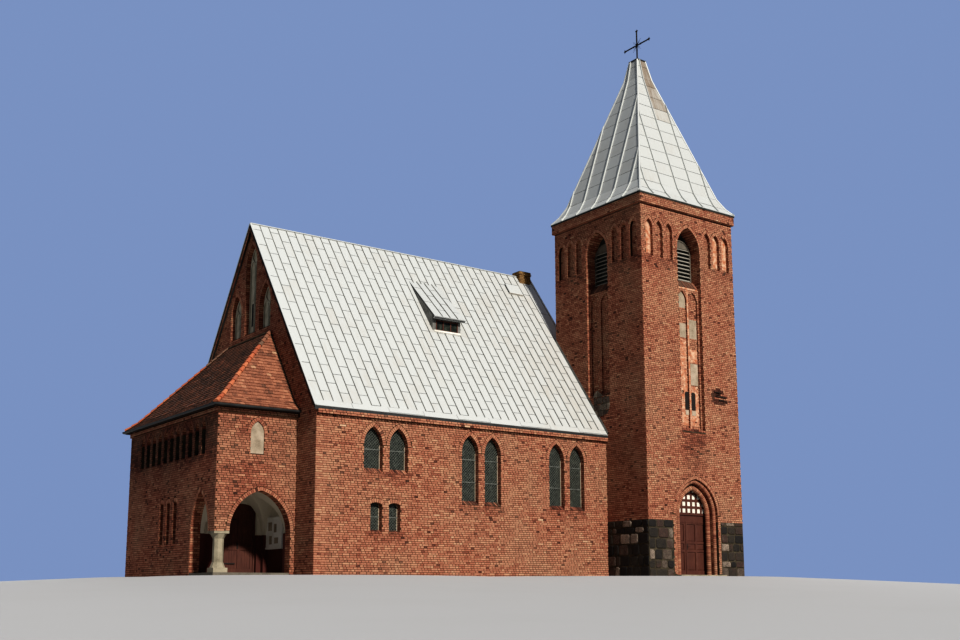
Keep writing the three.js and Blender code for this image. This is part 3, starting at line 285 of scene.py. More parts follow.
class Place:
    """A flat face of the building: u runs to the viewer's right, v upwards, w out of the face."""

    def __init__(self, origin, u, v=UP):
        self.origin = np.array(origin, float)
        self.u = np.array(u, float) / np.linalg.norm(u)
        self.v = np.array(v, float) / np.linalg.norm(v)
        self.w = np.cross(self.u, self.v)

    def at(self, uvw):
        uvw = np.asarray(uvw, float)
        return self.origin + uvw[..., :1] * self.u + uvw[..., 1:2] * self.v + uvw[..., 2:] * self.w

    def raised(self, w):
        """The same face moved out by w."""
        return Place(self.origin + w * self.w, self.u, self.v)


SOUTH_FACE = Place((0, 0, 0), (1, 0, 0))
NORTH_FACE = Place((NAVE_LENGTH, NAVE_WIDTH, 0), (-1, 0, 0))
WEST_FACE = Place((0, MIDDLE, 0), (0, -1, 0))
EAST_FACE = Place((NAVE_LENGTH, MIDDLE, 0), (0, 1, 0))
SOUTH_SLOPE = Place((0, -EAVE_OUT, EAVE_Z), (1, 0, 0), (0, SLOPE_RUN, SLOPE_RISE))
NORTH_SLOPE = Place((NAVE_LENGTH, NAVE_WIDTH + EAVE_OUT, EAVE_Z), (-1, 0, 0), (0, -SLOPE_RUN, SLOPE_RISE))
PORCH_FACES = {
    "south": Place((0, PORCH_SOUTH, 0), (1, 0, 0)),
    "west": Place((-PORCH_DEPTH, 0, 0), (0, -1, 0)),
    "north": Place((0, PORCH_NORTH, 0), (-1, 0, 0)),
}
TOWER_FACES = {
    "south": Place((TOWER_X, TOWER_Y - TOWER_HALF, 0), (1, 0, 0)),
    "east": Place((TOWER_X + TOWER_HALF, TOWER_Y, 0), (0, 1, 0)),
    "north": Place((TOWER_X, TOWER_Y + TOWER_HALF, 0), (-1, 0, 0)),
    "west": Place((TOWER_X - TOWER_HALF, TOWER_Y, 0), (0, -1, 0)),
}


def pairs(loop):
    """Each corner of a closed loop with the next one."""
    return zip(loop, loop[1:] + loop[:1])


def area(outline):
    """Signed area of an outline, positive when it runs anticlockwise."""
    return sum(a[0] * b[1] - b[0] * a[1] for a, b in pairs(outline)) / 2


def half_planes(outline):
    """The half planes a*u + b*v <= c whose common part is a convex anticlockwise outline."""
    planes = []
    for (u0, v0), (u1, v1) in pairs(outline):
        a, b = v1 - v0, u0 - u1
        planes.append((a, b, a * u0 + b * v0))
    return planes


def clip(outline, planes):
    """The part of a convex outline that lies in all the half planes."""
    for a, b, c in planes:
        kept = []
        for here, after in pairs(outline):
            d0 = a * here[0] + b * here[1] - c
            d1 = a * after[0] + b * after[1] - c
            if d0 <= 0:
                kept.append(here)
            if d0 * d1 < 0:
                t = d0 / (d0 - d1)
                kept.append((here[0] + t * (after[0] - here[0]), here[1] + t * (after[1] - here[1])))
        outline = kept
        if len(outline) < 3:
            return []
    return outline


def rectangle(u0, u1, v0, v1, inset=0.0):
    """A rectangle's corners, drawn in by a margin all round."""
    u0, u1, v0, v1 = u0 + inset, u1 - inset, v0 + inset, v1 - inset
    return [(u0, v0), (u1, v0), (u1, v1), (u0, v1)]


def clamp(value, low=0.0, high=1.0):
    return min(max(value, low), high)


def around(count):
    """Angles evenly round a circle."""
    return [2 * math.pi * k / count for k in range(count)]


class Arch:
    """An opening's outline on a face: upright to its spring line, under a pointed or flat arc."""

    def __init__(self, centre, width, sill, apex, rise, pointed=True):
        self.centre = centre
        self.half = width / 2
        self.left, self.right = centre - self.half, centre + self.half
        self.sill = sill
        self.apex = apex
        self.rise = rise
        self.spring = apex - rise
        self.pointed = pointed
        self.radius = (rise**2 + self.half**2) / (2 * (self.half if pointed else rise))

    def reach(self, v, out=0.0):
        """Half the width at a height above the spring line, of the arc grown outwards."""
        up = v - self.spring
        grown = self.radius + out
        if self.pointed:
            return math.sqrt(max(grown**2 - up**2, 0.0)) - (self.radius - self.half)
        drop = self.radius - self.rise
        arc = math.sqrt(max(grown**2 - (up + drop) ** 2, 0.0))
        return min(arc, self.half + up * self.half / drop)

    def top(self, out):
        if not self.pointed:
            return self.apex + out
        return self.spring + math.sqrt((self.radius + out) ** 2 - (self.radius - self.half) ** 2)

    def span(self, v0, v1, out):
        """Left and right edges at the foot and at the top of a course, or None clear of the arch."""
        middle = (v0 + v1) / 2
        if middle < self.sill or v0 > self.top(out):
            return None
        if middle <= self.spring:
            return self.left, self.right, self.left, self.right
        a, b = (max(self.reach(max(v, self.spring), out), 0) for v in (v0, v1))
        return self.centre - a, self.centre + a, self.centre - b, self.centre + b

    def outline(self, grow=0.0, steps=9):
        """Anticlockwise corners of the opening, grown or, where negative, drawn in all round."""
        c, half, radius = self.centre, self.half + grow, self.radius + grow
        foot = [(c - half, self.sill - grow), (c + half, self.sill - grow)]
        if self.pointed:
            back = self.radius - self.half
            sweep = math.acos(back / radius)
            turns = [sweep * i / steps for i in range(steps + 1)]
            arc = [(radius * math.cos(t), self.spring + radius * math.sin(t)) for t in turns]
            return foot + [(c - back + u, v) for u, v in arc] + [(c + back - u, v) for u, v in arc[-2::-1]]
        drop = self.radius - self.rise
        lean = math.asin(half / radius)
        turns = [lean - 2 * lean * i / steps for i in range(steps + 1)]
        return foot + [(c + radius * math.sin(t), self.spring - drop + radius * math.cos(t)) for t in turns]

    def jamb(self, side, deep):
        """The strip of the opening along one jamb, side being -1 at the left and 1 at the right."""
        edge = self.centre + side * self.half
        return sorted((edge, edge - side * deep))

    def band(self, foot, top, grow):
        """The part of the grown outline between two heights."""
        return clip(self.outline(grow), [(0, 1, top), (0, -1, -foot)])


class Gap:
    """A gap in the brickwork with straight sides, which may slant evenly from its foot to its top."""

    def __init__(self, foot, top, low, high=None):
        self.foot, self.top, self.low, self.high = foot, top, low, high or low

    def edges(self, v):
        t = clamp((v - self.foot) / (self.top - self.foot))
        return [a + t * (b - a) for a, b in zip(self.low, self.high)]

    def span(self, v0, v1, out):
        return (*self.edges(v0), *self.edges(v1)) if self.foot < (v0 + v1) / 2 < self.top else None


PORTAL_WIDTH = 2.4
PORTAL_RADIUS = 1.452
PORTAL_RISE = math.sqrt(PORTAL_RADIUS**2 - (PORTAL_RADIUS - PORTAL_WIDTH / 2) ** 2)
PORTAL = Arch(0, PORTAL_WIDTH, -0.1, 2.5 + PORTAL_RISE, PORTAL_RISE)
SOUTH_ARCH = Arch(-1.2875, 2.215, -0.2, 2.87, 1.39)
WEST_ARCH = Arch(-2.69, 1.52, -0.2, 2.87, 1.39)

BLOCK_FACES = np.array(
    [[0, 3, 2, 1], [4, 5, 6, 7], [0, 1, 5, 4], [3, 7, 6, 2], [1, 2, 6, 5], [0, 4, 7, 3]]
)


class Stock:
    """Gathers the closed solids of one piece, each with a tone from 0 to 1 and a material number."""

    def __init__(self):
        self.points, self.faces, self.tones, self.kinds = [], [], [], []
        self.count = 0

    def add(self, points, faces, tone=0.5, kind=0):
        self.points.append(np.asarray(points, float))
        self.faces.extend([[i + self.count for i in face] for face in faces])
        self.tones.extend([tone] * len(faces))
        self.kinds.extend([kind] * len(faces))
        self.count += len(points)

    def blocks(self, place, rows, kind=0):
        """Adds many four-sided blocks. A row holds the left and right edges at the foot, those at
        the top, the foot, the top, the back, the front and the tone."""
        if not rows:
            return
        l0, r0, l1, r1, v0, v1, w0, w1, tone = np.array(rows, float).T
        corners = [(u, v, w) for w in (w0, w1) for u, v in ((l0, v0), (r0, v0), (r1, v1), (l1, v1))]
        uvw = np.stack([np.stack(corner, -1) for corner in corners], 1)
        self.points.append(place.at(uvw).reshape(-1, 3))
        first = self.count + len(corners) * np.arange(len(rows))[:, None, None]
        self.faces.extend((first + BLOCK_FACES[None]).reshape(-1, 4).tolist())
        self.tones.extend(np.repeat(tone, len(BLOCK_FACES)).tolist())
        self.kinds.extend([kind] * (len(BLOCK_FACES) * len(rows)))
        self.count += len(corners) * len(rows)

    def block(self, place, u, v, w, tone=0.5, kind=0):
        self.blocks(place, [(u[0], u[1], u[0], u[1], v[0], v[1], w[0], w[1], tone)], kind)

    def prism(self, place, outline, back, front, tone=0.5, kind=0):
        """A solid over an outline. Its front may be a height or a function of (u, v)."""
        if len(outline) < 3 or abs(area(outline)) < 1e-5:
            return
        if area(outline) < 0:
            outline = outline[::-1]
        n = len(outline)
        height = front if callable(front) else lambda u, v: front
        points = [(u, v, back) for u, v in outline] + [(u, v, height(u, v)) for u, v in outline]
        sides = [(i, (i + 1) % n, n + (i + 1) % n, n + i) for i in range(n)]
        self.add(place.at(points), [range(n)[::-1], range(n, 2 * n), *sides], tone, kind)

    def plate(self, place, outer, holes, back, front, tone=0.5, kind=0):
        """A flat plate with holes through it."""
        loops = [outer if area(outer) > 0 else outer[::-1]]
        loops += [hole if area(hole) < 0 else hole[::-1] for hole in holes]
        flat = [point for loop in loops for point in loop]
        triangles = tessellate_polygon([[Vector((u, v, 0)) for u, v in loop] for loop in loops])
        n = len(flat)
        faces = []
        for a, b, c in triangles:
            if area([flat[a], flat[b], flat[c]]) < 0:
                a, c = c, a
            faces += [(a + n, b + n, c + n), (c, b, a)]
        first = 0
        for loop in loops:
            closed = [*range(first, first + len(loop)), first]
            faces += [(a, b, b + n, a + n) for a, b in zip(closed, closed[1:])]
            first += len(loop)
        points = [(u, v, back) for u, v in flat] + [(u, v, front) for u, v in flat]
        self.add(place.at(points), faces, tone, kind)

    def sweep(self, path, section, closed=False, tone=0.5, kind=0):
        """A solid along a path. The section gives its corners round each point of the path."""
        rings = [np.asarray(section(i), float) for i in range(len(path))]
        n = len(rings[0])
        faces = []
        last = len(rings) if closed else len(rings) - 1
        for i in range(last):
            a, b = i * n, ((i + 1) % len(rings)) * n
            faces += [(a + k, a + (k + 1) % n, b + (k + 1) % n, b + k) for k in range(n)]
        if not closed:
            faces += [range(n)[::-1], range(last * n, last * n + n)]
        self.add(np.concatenate(rings), faces, tone, kind)

    def rod(self, start, end, radius, sides=8, taper=1.0, tone=0.5, kind=0):
        """A straight round bar between two points of the building."""
        start, end = np.array(start, float), np.array(end, float)
        axis = (end - start) / np.linalg.norm(end - start)
        side = np.cross(axis, (0, 0, 1) if abs(axis[2]) < 0.9 else (1, 0, 0))
        side /= np.linalg.norm(side)
        other = np.cross(axis, side)

        def section(i):
            centre, size = ((start, radius), (end, radius * taper))[i]
            return [centre + size * (math.cos(t) * side + math.sin(t) * other) for t in around(sides)]

        self.sweep((start, end), section, tone=tone, kind=kind)

    def piece(self, name, finishes, slot, body="building", smooth=False):
        """Makes the piece, riding on a body of the frame. finishes names its materials in order."""
        if not self.count:
            raise RuntimeError(name + " is empty")
        mesh = bpy.data.meshes.new(name)
        mesh.from_pydata((np.concatenate(self.points) + CORNER).tolist(), [], self.faces)
        for finish_name in finishes.split():
            mesh.materials.append(finish(finish_name))
        mesh.polygons.foreach_set("material_index", self.kinds)
        mesh.polygons.foreach_set("use_smooth", [smooth] * len(self.faces))
        tone = mesh.attributes.new("tone", "FLOAT", "FACE")
        tone.data.foreach_set("value", self.tones)
        if smooth:
            mesh.set_sharp_from_angle(angle=math.radians(40))
        mesh.update()
        made = bpy.data.objects.new(name, mesh)
        bpy.context.scene.collection.objects.link(made)
        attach(made, body)
        return made


def brick_tone(rng, header, burnt):
    """A brick's shade: most are middling red, and many headers were burnt brown or nearly black."""
    if header and rng.random() < burnt:
        return rng.uniform(0.15, 0.34)
    return clamp(rng.gauss(0.6, 0.09), 0.34, 0.95)


def lay(stock, place, u, v, holes=(), ring=0.0, sides=None, shade=None, *, seed):
    """Lays bricks in courses over a rectangle of a face, a stretcher and three headers in turn, and
    leaves out the openings with the rings round them. sides gives the left and right edge at a
    height, shade adds to tones."""
    brick = bpy.context.scene.church_bricks
    rng = random.Random(seed)
    course, joint, upright = brick.course, brick.joint, brick.upright
    bond = (brick.stretcher, brick.header, brick.header, brick.header)
    pattern = sum(bond) + len(bond) * upright
    gap = joint / 2
    least = 2 * joint
    rows = []
    for i in range(math.floor(v[0] / course + 0.01), math.ceil(v[1] / course - 0.01)):
        v0, v1 = max(i * course + gap, v[0]), min((i + 1) * course - gap, v[1])
        if v1 - v0 < least:
            continue
        low, high = (sides(v0), sides(v1)) if sides else (u, u)
        spans = [s for s in (hole.span(v0, v1, ring + gap) for hole in holes) if s]
        left, right = min(low[0], high[0]), max(low[1], high[1])
        start = (math.floor(left / pattern) - 1 + (0.0, 0.6, 0.3, 0.85)[i % 4]) * pattern
        laid, tone = 0, 1.0
        while start < right:
            header = laid % len(bond) > 0 and tone > 0.34
            a, b = start, start + bond[laid % len(bond)]
            start = b + upright
            parts = [[max(a, low[0]), min(b, low[1]), max(a, high[0]), min(b, high[1])]]
            for a0, b0, a1, b1 in spans:
                rest = []
                for l0, r0, l1, r1 in parts:
                    if max(r0, r1) <= min(a0, a1) or min(l0, l1) >= max(b0, b1):
                        rest.append([l0, r0, l1, r1])
                        continue
                    rest.append([l0, min(r0, a0), l1, min(r1, a1)])
                    rest.append([max(l0, b0), r0, max(l1, b1), r1])
                parts = rest
            tone = brick_tone(rng, header, brick.burnt)
            front = brick.proud + rng.uniform(-0.0015, 0.0015)
            for l0, r0, l1, r1 in parts:
                if max(r0 - l0, r1 - l1) < least:
                    continue
                r0, r1 = max(r0, l0 + 0.002), max(r1, l1 + 0.002)
                extra = shade((l0 + r0) / 2, (v0 + v1) / 2) if shade else 0.0
                rows.append((l0, r0, l1, r1, v0, v1, -joint, front, clamp(tone + extra)))
            laid += 1
    stock.blocks(place, rows)


def ring(stock, place, arch, depth, seed, planes=(), darkening=0.0):
    """Lays a ring of bricks on edge round an arch, from one spring line to the other, inside the half planes.
    The last argument is taken off the bricks' tones: darker bricks, and painted shade for rings in shade."""
    brick = bpy.context.scene.church_bricks
    rng = random.Random(seed)
    half_joint = brick.joint / 2
    near, far = arch.radius, arch.radius + depth
    if arch.pointed:
        offset, level, out, up = arch.radius - arch.half, arch.spring, math.cos, math.sin
        sweep = math.acos(offset / far)
    else:
        offset, level, out, up = 0.0, arch.spring - (arch.radius - arch.rise), math.sin, math.cos
        sweep = math.asin(arch.half / arch.radius)
    count = max(round(near * sweep / brick.course), 1)
    for side in (1, -1):
        centre = arch.centre - side * offset
        for i in range(count):
            a, b = sweep * i / count, sweep * (i + 1) / count
            edges = (
                (near, a + half_joint / near), (near, b - half_joint / near),
                (far, b - half_joint / far), (far, a + half_joint / far),
            )
            corners = [(centre + side * r * out(t), level + r * up(t)) for r, t in edges]
            if area(corners) < 0:
                corners.reverse()
            corners = clip(corners, [(-side, 0, -side * arch.centre - half_joint / 2), *planes])
            shade = clamp(brick_tone(rng, True, brick.burnt * 0.4) - darkening)
            stock.prism(place, corners, -brick.joint, brick.proud + rng.uniform(0, 0.002), shade)


def on_edge(stock, place, u, v, w, seed):
    """A row of bricks on edge, as in a sill: w gives the front at the row's foot and at its top."""
    brick = bpy.context.scene.church_bricks
    rng = random.Random(seed)
    count = max(round((u[1] - u[0]) / brick.course), 1)
    pitch = (u[1] - u[0]) / count
    slope = (w[1] - w[0]) / (v[1] - v[0])
    for i in range(count):
        left = u[0] + i * pitch
        lift = rng.uniform(-0.014, 0.008)
        outline = rectangle(left + brick.joint / 2, left + pitch - brick.joint / 2, *v)
        tone = clamp(SILL_TONE + rng.gauss(0, 0.2))
        stock.prism(place, outline, min(w) - 0.05, lambda a, b: w[0] + slope * (b - v[0]) + lift, tone)


def field_stones(stock, place, u, v, seed):
    """Split field stones, roughly squared and bedded in uneven courses with wide joints."""
    rng = random.Random(seed)
    size, joint = STONE_SIZE, STONE_JOINT

    def cuts(start, end, least, most):
        at = [start]
        while end - at[-1] > most:
            at.append(at[-1] + rng.uniform(least, most))
        return at + [end]

    half = joint / 2
    rows = cuts(v[0], v[1], 0.6 * size, 1.15 * size)
    for foot, top in zip(rows, rows[1:]):
        ends = cuts(u[0], u[1], 0.55 * size, 1.5 * size)
        for left, right in zip(ends, ends[1:]):
            corners = rectangle(left + half, right - half, foot + half, top - half)
            points = []
            for (x, y), (dx, dy) in zip(corners, ((1, 1), (-1, 1), (-1, -1), (1, -1))):
                chip = rng.uniform(0.02, 0.07)
                ways = ((0, dy * chip), (dx * chip * rng.uniform(0.6, 1.4), 0))
                points += [(x + a, y + b) for a, b in (ways if dx == dy else ways[::-1])]
            cx, cy = sum(a for a, _ in points) / len(points), sum(b for _, b in points) / len(points)
            out = rng.uniform(0.015, 0.04)
            solid = []
            for scale, w in ((1.0, -0.02), (0.98, 0.4 * out), (0.86, 0.9 * out), (0.5, out)):
                solid += [(cx + scale * (a - cx), cy + scale * (b - cy), w) for a, b in points]
            n = len(points)
            faces = [range(n)[::-1], range(3 * n, 4 * n)]
            for layer in range(3):
                a, b = layer * n, (layer + 1) * n
                faces += [(a + k, a + (k + 1) % n, b + (k + 1) % n, b + k) for k in range(n)]
            stock.add(place.at(solid), faces, rng.random())


def clad(stock, place, u, v, planes, bay, sheet, seam, seed, start=0.0, stagger=0.5, void=None,
         shade=None, kind=0):
    """Covers a slope with metal sheets in bays: dark joints between sheets, laps staggered from bay to
    bay, and a standing seam between bays. seam holds its width and height, start is the first bay's
    width where it isn't a full one, void a rectangle left bare, shade adds to tones, and kind is the
    seams' material."""
    rng = random.Random(seed)
    first = start or bay
    count = max(round((u[1] - u[0] - first) / bay), 0)
    pitch = bay if start else (u[1] - u[0]) / (count + 1)
    inner = [u[0] + (start or pitch) + pitch * i for i in range(count + 1)]
    edges = [u[0]] + [e for e in inner if e < u[1] - 0.05] + [u[1]]
    gap, lap = 0.006, 0.009
    hole = void or (0, 0, 0, 0)
    for i, (left, right) in enumerate(zip(edges, edges[1:])):
        inside = hole[0] - gap < left and right < hole[1] + gap
        foot = v[0] - sheet * (stagger * (i % 2)) + rng.uniform(-0.015, 0.015)
        while foot < v[1]:
            top = foot + sheet
            low, high = max(foot + lap, v[0]), min(top - lap, v[1])
            if inside and low < hole[3] and high > hole[2]:
                low, high = (low, hole[2]) if low < hole[2] else (hole[3], high)
            outline = clip(rectangle(left + gap, right - gap, low, high), planes) if high > low else []
            if outline and abs(area(outline)) > 0.003:
                twist, swell = rng.uniform(-0.003, 0.003), rng.uniform(0, 0.002)
                tone = rng.gauss(0.66, 0.035)
                if shade:
                    tone += shade((left + right) / 2, (low + high) / 2)

                def height(a, b):
                    return 0.01 + swell - 0.004 * (b - foot) / sheet + twist * (a - left) / bay

                stock.prism(place, outline, 0.0005, height, clamp(tone))
            foot = top
    half = seam[0] / 2
    for edge in edges[1:-1]:
        spans = [v]
        if hole[0] + gap < edge < hole[1] - gap:
            spans = [(v[0], hole[2]), (hole[3], v[1])]
        for low, high in spans:
            if seam[1] > 0 and high > low:
                outline = clip(rectangle(edge - half, edge + half, low, high), planes)
                stock.prism(place, outline, 0.0, seam[1], 0.9, kind)


def tile(stock, place, u, v, planes, wide, row, seed, tone):
    """Plain tiles in staggered rows, each row tilted over the one below it."""
    rng = random.Random(seed)
    thick, gap, length = 0.014, 0.003, 1.25 * row
    for i in range(math.ceil((v[1] - v[0]) / row)):
        foot = v[0] + i * row
        shift = 0.5 * (i % 2)
        for k in range(math.floor((u[1] - u[0]) / wide) + 2):
            left = u[0] + (k - shift) * wide
            nudge = rng.uniform(-0.006, 0.006)
            flat = rectangle(left + gap / 2, left + wide - gap / 2, foot + nudge, foot + length)
            outline = clip(flat, planes)
            if not outline or abs(area(outline)) < 0.002:
                continue
            lift = rng.uniform(0, 0.004)

            def height(a, b):
                return 0.008 + lift + 2 * thick * max(1 - (b - foot) / length, 0)

            stock.prism(place, outline, 0.001, height, clamp(rng.gauss(tone, 0.09)))


def half_round(stock, start, end, seed, tone=0.6):
    """A line of overlapping half-round tiles from a foot to a top."""
    rng = random.Random(seed)
    start, end, up = (np.array(p, float) for p in (start, end, UP))
    length = np.linalg.norm(end - start)
    axis = (end - start) / length
    up -= axis * np.dot(up, axis)
    up /= np.linalg.norm(up)
    side = np.cross(axis, up)
    turns = [math.pi * k / 8 for k in range(9)]
    count = math.ceil(length / HIP_TILE_PITCH)
    for i in range(count):
        a, b = start + axis * (length * i / count - 0.02), start + axis * (length * (i + 1) / count)
        a[2] = max(a[2], start[2] - 0.01)

        def section(k):
            centre, size = ((a, HIP_TILE_RADIUS), (b, HIP_TILE_RADIUS * 0.68))[k]
            return [centre + size * (math.cos(t) * side + math.sin(t) * up) for t in turns]

        stock.sweep((a, b), section, tone=clamp(rng.gauss(tone, 0.12)))


def lattice(stock, place, arch, w, kind):
    """Diagonal lead cames over a light, inside its outline."""
    inner = half_planes(arch.outline(-0.01))
    reach = (arch.apex - arch.sill) + 2 * arch.half
    step = CAME_WIDTH * math.sqrt(0.5)
    count = math.ceil(reach / CAME_PITCH)
    c = arch.centre
    for lean in (1, -1):
        for i in range(-count, count + 1):
            low, high = (arch.sill + i * CAME_PITCH + way * lean * reach for way in (-1, 1))
            outline = clip(
                [(c - reach, low - step), (c + reach, high - step), (c + reach, high + step),
                 (c - reach, low + step)],
                inner,
            )
            if outline and abs(area(outline)) > 1e-4:
                stock.prism(place, outline, w[0], w[1], 0.5, kind)


def add(tree, kind, inputs=None, stops=None, **settings):
    """Adds a node with its settings, and fills its sockets with values or links."""
    made = tree.nodes.new(kind)
    for name, value in settings.items():
        setattr(made, name, value)
    for key, value in (inputs or {}).items():
        if isinstance(value, bpy.types.NodeSocket):
            tree.links.new(value, made.inputs[key])
        else:
            made.inputs[key].default_value = value
    if stops:
        while len(made.color_ramp.elements) < len(stops):
            made.color_ramp.elements.new(1.0)
        for element, (position, colour) in zip(made.color_ramp.elements, stops):
            element.position = position
            element.color = linear(colour)
    return made


def new_material(name, roughness, specular=0.5, metallic=0.0, coat=0.0):
    """A material with its shader's plain sockets set, and its nodes."""
    material = bpy.data.materials.new(name)
    material.use_nodes = True
    shader = material.node_tree.nodes["Principled BSDF"]
    shader.inputs["Roughness"].default_value = roughness
    shader.inputs["Specular IOR Level"].default_value = specular
    shader.inputs["Metallic"].default_value = metallic
    shader.inputs["Coat Weight"].default_value = coat
    return material, material.node_tree


def mottled(tree, value, *layers, stretch=(1, 1, 1)):
    """A value with noise over it, centred on nought. Each layer holds the noise's real size in metres,
    its strength and, where that isn't 4, its detail."""
    place = add(tree, "ShaderNodeTexCoord").outputs["Object"]
    scaled = add(tree, "ShaderNodeMapping", {"Vector": place, "Scale": stretch}).outputs[0]
    for size, strength, *detail in layers:
        noise = add(tree, "ShaderNodeTexNoise",
                    {"Vector": scaled, "Scale": 1 / size, "Detail": detail[0] if detail else 4.0})
        centred = add(tree, "ShaderNodeMath", {0: noise.outputs["Fac"], 1: 0.5}, operation="SUBTRACT")
        value = add(tree, "ShaderNodeMath", {0: centred.outputs[0], 1: strength, 2: value},
                    operation="MULTIPLY_ADD").outputs[0]
    return value


def surfaced(material, colour, relief=None, strength=0.6, depth=0.003):
    """The material with its colour linked, and its relief of a height, a strength and a depth."""
    tree = material.node_tree
    shader = tree.nodes["Principled BSDF"]
    tree.links.new(colour, shader.inputs["Base Color"])
    if relief:
        lit = add(tree, "ShaderNodeBump", {"Height": relief, "Strength": strength, "Distance": depth})
        tree.links.new(lit.outputs[0], shader.inputs["Normal"])
    return material


def even(colours):
    """Colours at even steps along a ramp."""
    return [(i / (len(colours) - 1), colour) for i, colour in enumerate(colours)]


def toned(name, stops, grain, weather, relief, *sockets):
    """A material whose colour runs along a ramp by each solid's tone, with mottling of a fine and a
    wide size over it. grain and weather hold a size and a strength, relief a size and a depth."""
    material, tree = new_material(name, *sockets)
    tone = add(tree, "ShaderNodeAttribute", attribute_name="tone").outputs["Fac"]
    value = mottled(tree, tone, grain, (*weather, 6.0))
    ramp = add(tree, "ShaderNodeValToRGB", {"Fac": value}, stops)
    return surfaced(material, ramp.outputs["Color"], mottled(tree, 0.0, (relief[0], 1.0)), 0.6, relief[1])


def plain(name, colours, sizes, relief, *sockets):
    """A material that wavers between some colours by noise of a wide and a fine size. relief holds a
    size and a depth."""
    material, tree = new_material(name, *sockets)
    value = mottled(tree, 0.5, (sizes[0], 1.4), (sizes[1], 0.5))
    ramp = add(tree, "ShaderNodeValToRGB", {"Fac": value}, even(colours))
    return surfaced(material, ramp.outputs["Color"], mottled(tree, 0.0, (relief[0], 1.0)), 0.5, relief[1])


def grained(name, colours, grain, *sockets):
    """Wood whose grain runs along Z, as colour streaks and fine ridges."""
    material, tree = new_material(name, *sockets)
    streaks = mottled(tree, 0.5, (grain, 1.2, 5.0), stretch=(1, 1, 0.06))
    ramp = add(tree, "ShaderNodeValToRGB", {"Fac": mottled(tree, streaks, (0.5, 0.8))}, even(colours))
    return surfaced(material, ramp.outputs["Color"], streaks, 0.5, 0.002)


BRICK_STOPS = (
    (0.0, "#38241E"), (0.2, "#563229"), (0.42, "#875240"), (0.62, "#A26F58"), (0.85, "#B1896D"),
    (1.0, "#BEA388"),
)


def hand_moulded_brick():
    # Fired clay pressed in sanded moulds: dull faces, no two bricks quite the same red, and a tan
    # bloom of lime and dust lying over the wall in patches a metre or two wide.
    material, tree = new_material("brick hand moulded and fired", 0.92, 0.25)
    tone = add(tree, "ShaderNodeAttribute", attribute_name="tone").outputs["Fac"]
    value = mottled(tree, tone, (0.035, 0.5), (0.9, 0.18, 6.0))
    fired = add(tree, "ShaderNodeValToRGB", {"Fac": value}, BRICK_STOPS)
    dust = mottled(tree, 0.0, (1.7, 2.2, 6.0), (0.05, 0.8))
    bloom = add(tree, "ShaderNodeMath", {0: dust, 1: 0.16}, operation="ADD", use_clamp=True)
    share = add(tree, "ShaderNodeMath", {0: bloom.outputs[0], 1: 0.6}, operation="MULTIPLY")
    mixed = add(
        tree, "ShaderNodeMix", {0: share.outputs[0], 6: fired.outputs["Color"], 7: linear("#9E846B")},
        data_type="RGBA",
    )
    return surfaced(material, mixed.outputs[2], mottled(tree, 0.0, (0.012, 1.0)))


def course_brickwork(name, across):
    """Brickwork seen where no separate bricks lie: its courses line up with the laid ones, and the
    main face, which looks along the given axis, shows only the mortar between them."""
    # Bricks of the same fired reds, in lime mortar struck flush: dull brown with soot and damp.
    brick = bpy.context.scene.church_bricks
    material, tree = new_material(name, 0.95, 0.2)
    place = add(tree, "ShaderNodeTexCoord").outputs["Object"]
    axes = add(tree, "ShaderNodeSeparateXYZ", {0: place})
    normal = add(tree, "ShaderNodeNewGeometry").outputs["Normal"]
    facing = add(tree, "ShaderNodeSeparateXYZ", {0: normal})
    turn = add(tree, "ShaderNodeMath", {0: facing.outputs["X"]}, operation="ABSOLUTE").outputs[0]
    sideways = add(tree, "ShaderNodeMath", {0: turn, 1: 0.7}, operation="GREATER_THAN").outputs[0]
    along = add(
        tree, "ShaderNodeMix", {0: sideways, 2: axes.outputs["X"], 3: axes.outputs["Y"]}, data_type="FLOAT"
    ).outputs[0]
    flat = add(tree, "ShaderNodeCombineXYZ", {0: along, 1: axes.outputs["Z"]}).outputs[0]
    courses = add(tree, "ShaderNodeTexBrick", {
        "Vector": flat, "Color1": (0.0, 0.0, 0.0, 1.0), "Color2": (1.0, 1.0, 1.0, 1.0),
        "Mortar": (0.5, 0.5, 0.5, 1.0), "Scale": 1.0, "Mortar Size": brick.joint / 2, "Mortar Smooth": 0.2,
        "Brick Width": brick.stretcher + brick.joint, "Row Height": brick.course,
    })
    shade = add(tree, "ShaderNodeSeparateColor", {0: courses.outputs["Color"]}).outputs[0]
    spread = add(tree, "ShaderNodeMath", {0: shade, 1: 0.45, 2: 0.32}, operation="MULTIPLY_ADD").outputs[0]
    fired = add(tree, "ShaderNodeValToRGB", {"Fac": mottled(tree, spread, (0.04, 0.5))}, BRICK_STOPS)
    damp = mottled(tree, 0.0, (0.5, 1.6), (0.02, 1.0))
    lime = add(tree, "ShaderNodeMix", {0: damp, 6: brick.mortar[:], 7: linear("#3A2C25")}, data_type="RGBA")
    turned = add(tree, "ShaderNodeMath", {0: facing.outputs[across]}, operation="ABSOLUTE").outputs[0]
    main = add(tree, "ShaderNodeMath", {0: turned, 1: 0.7}, operation="GREATER_THAN").outputs[0]
    bare = add(tree, "ShaderNodeMath", {0: main, 1: courses.outputs["Fac"]}, operation="MAXIMUM").outputs[0]
    mixed = add(
        tree, "ShaderNodeMix", {0: bare, 6: fired.outputs["Color"], 7: lime.outputs[2]}, data_type="RGBA"
    )
    sunk = add(tree, "ShaderNodeMath", {0: 1.0, 1: bare}, operation="SUBTRACT").outputs[0]
    return surfaced(material, mixed.outputs[2], mottled(tree, sunk, (0.01, 0.4)), 0.6, 0.005)


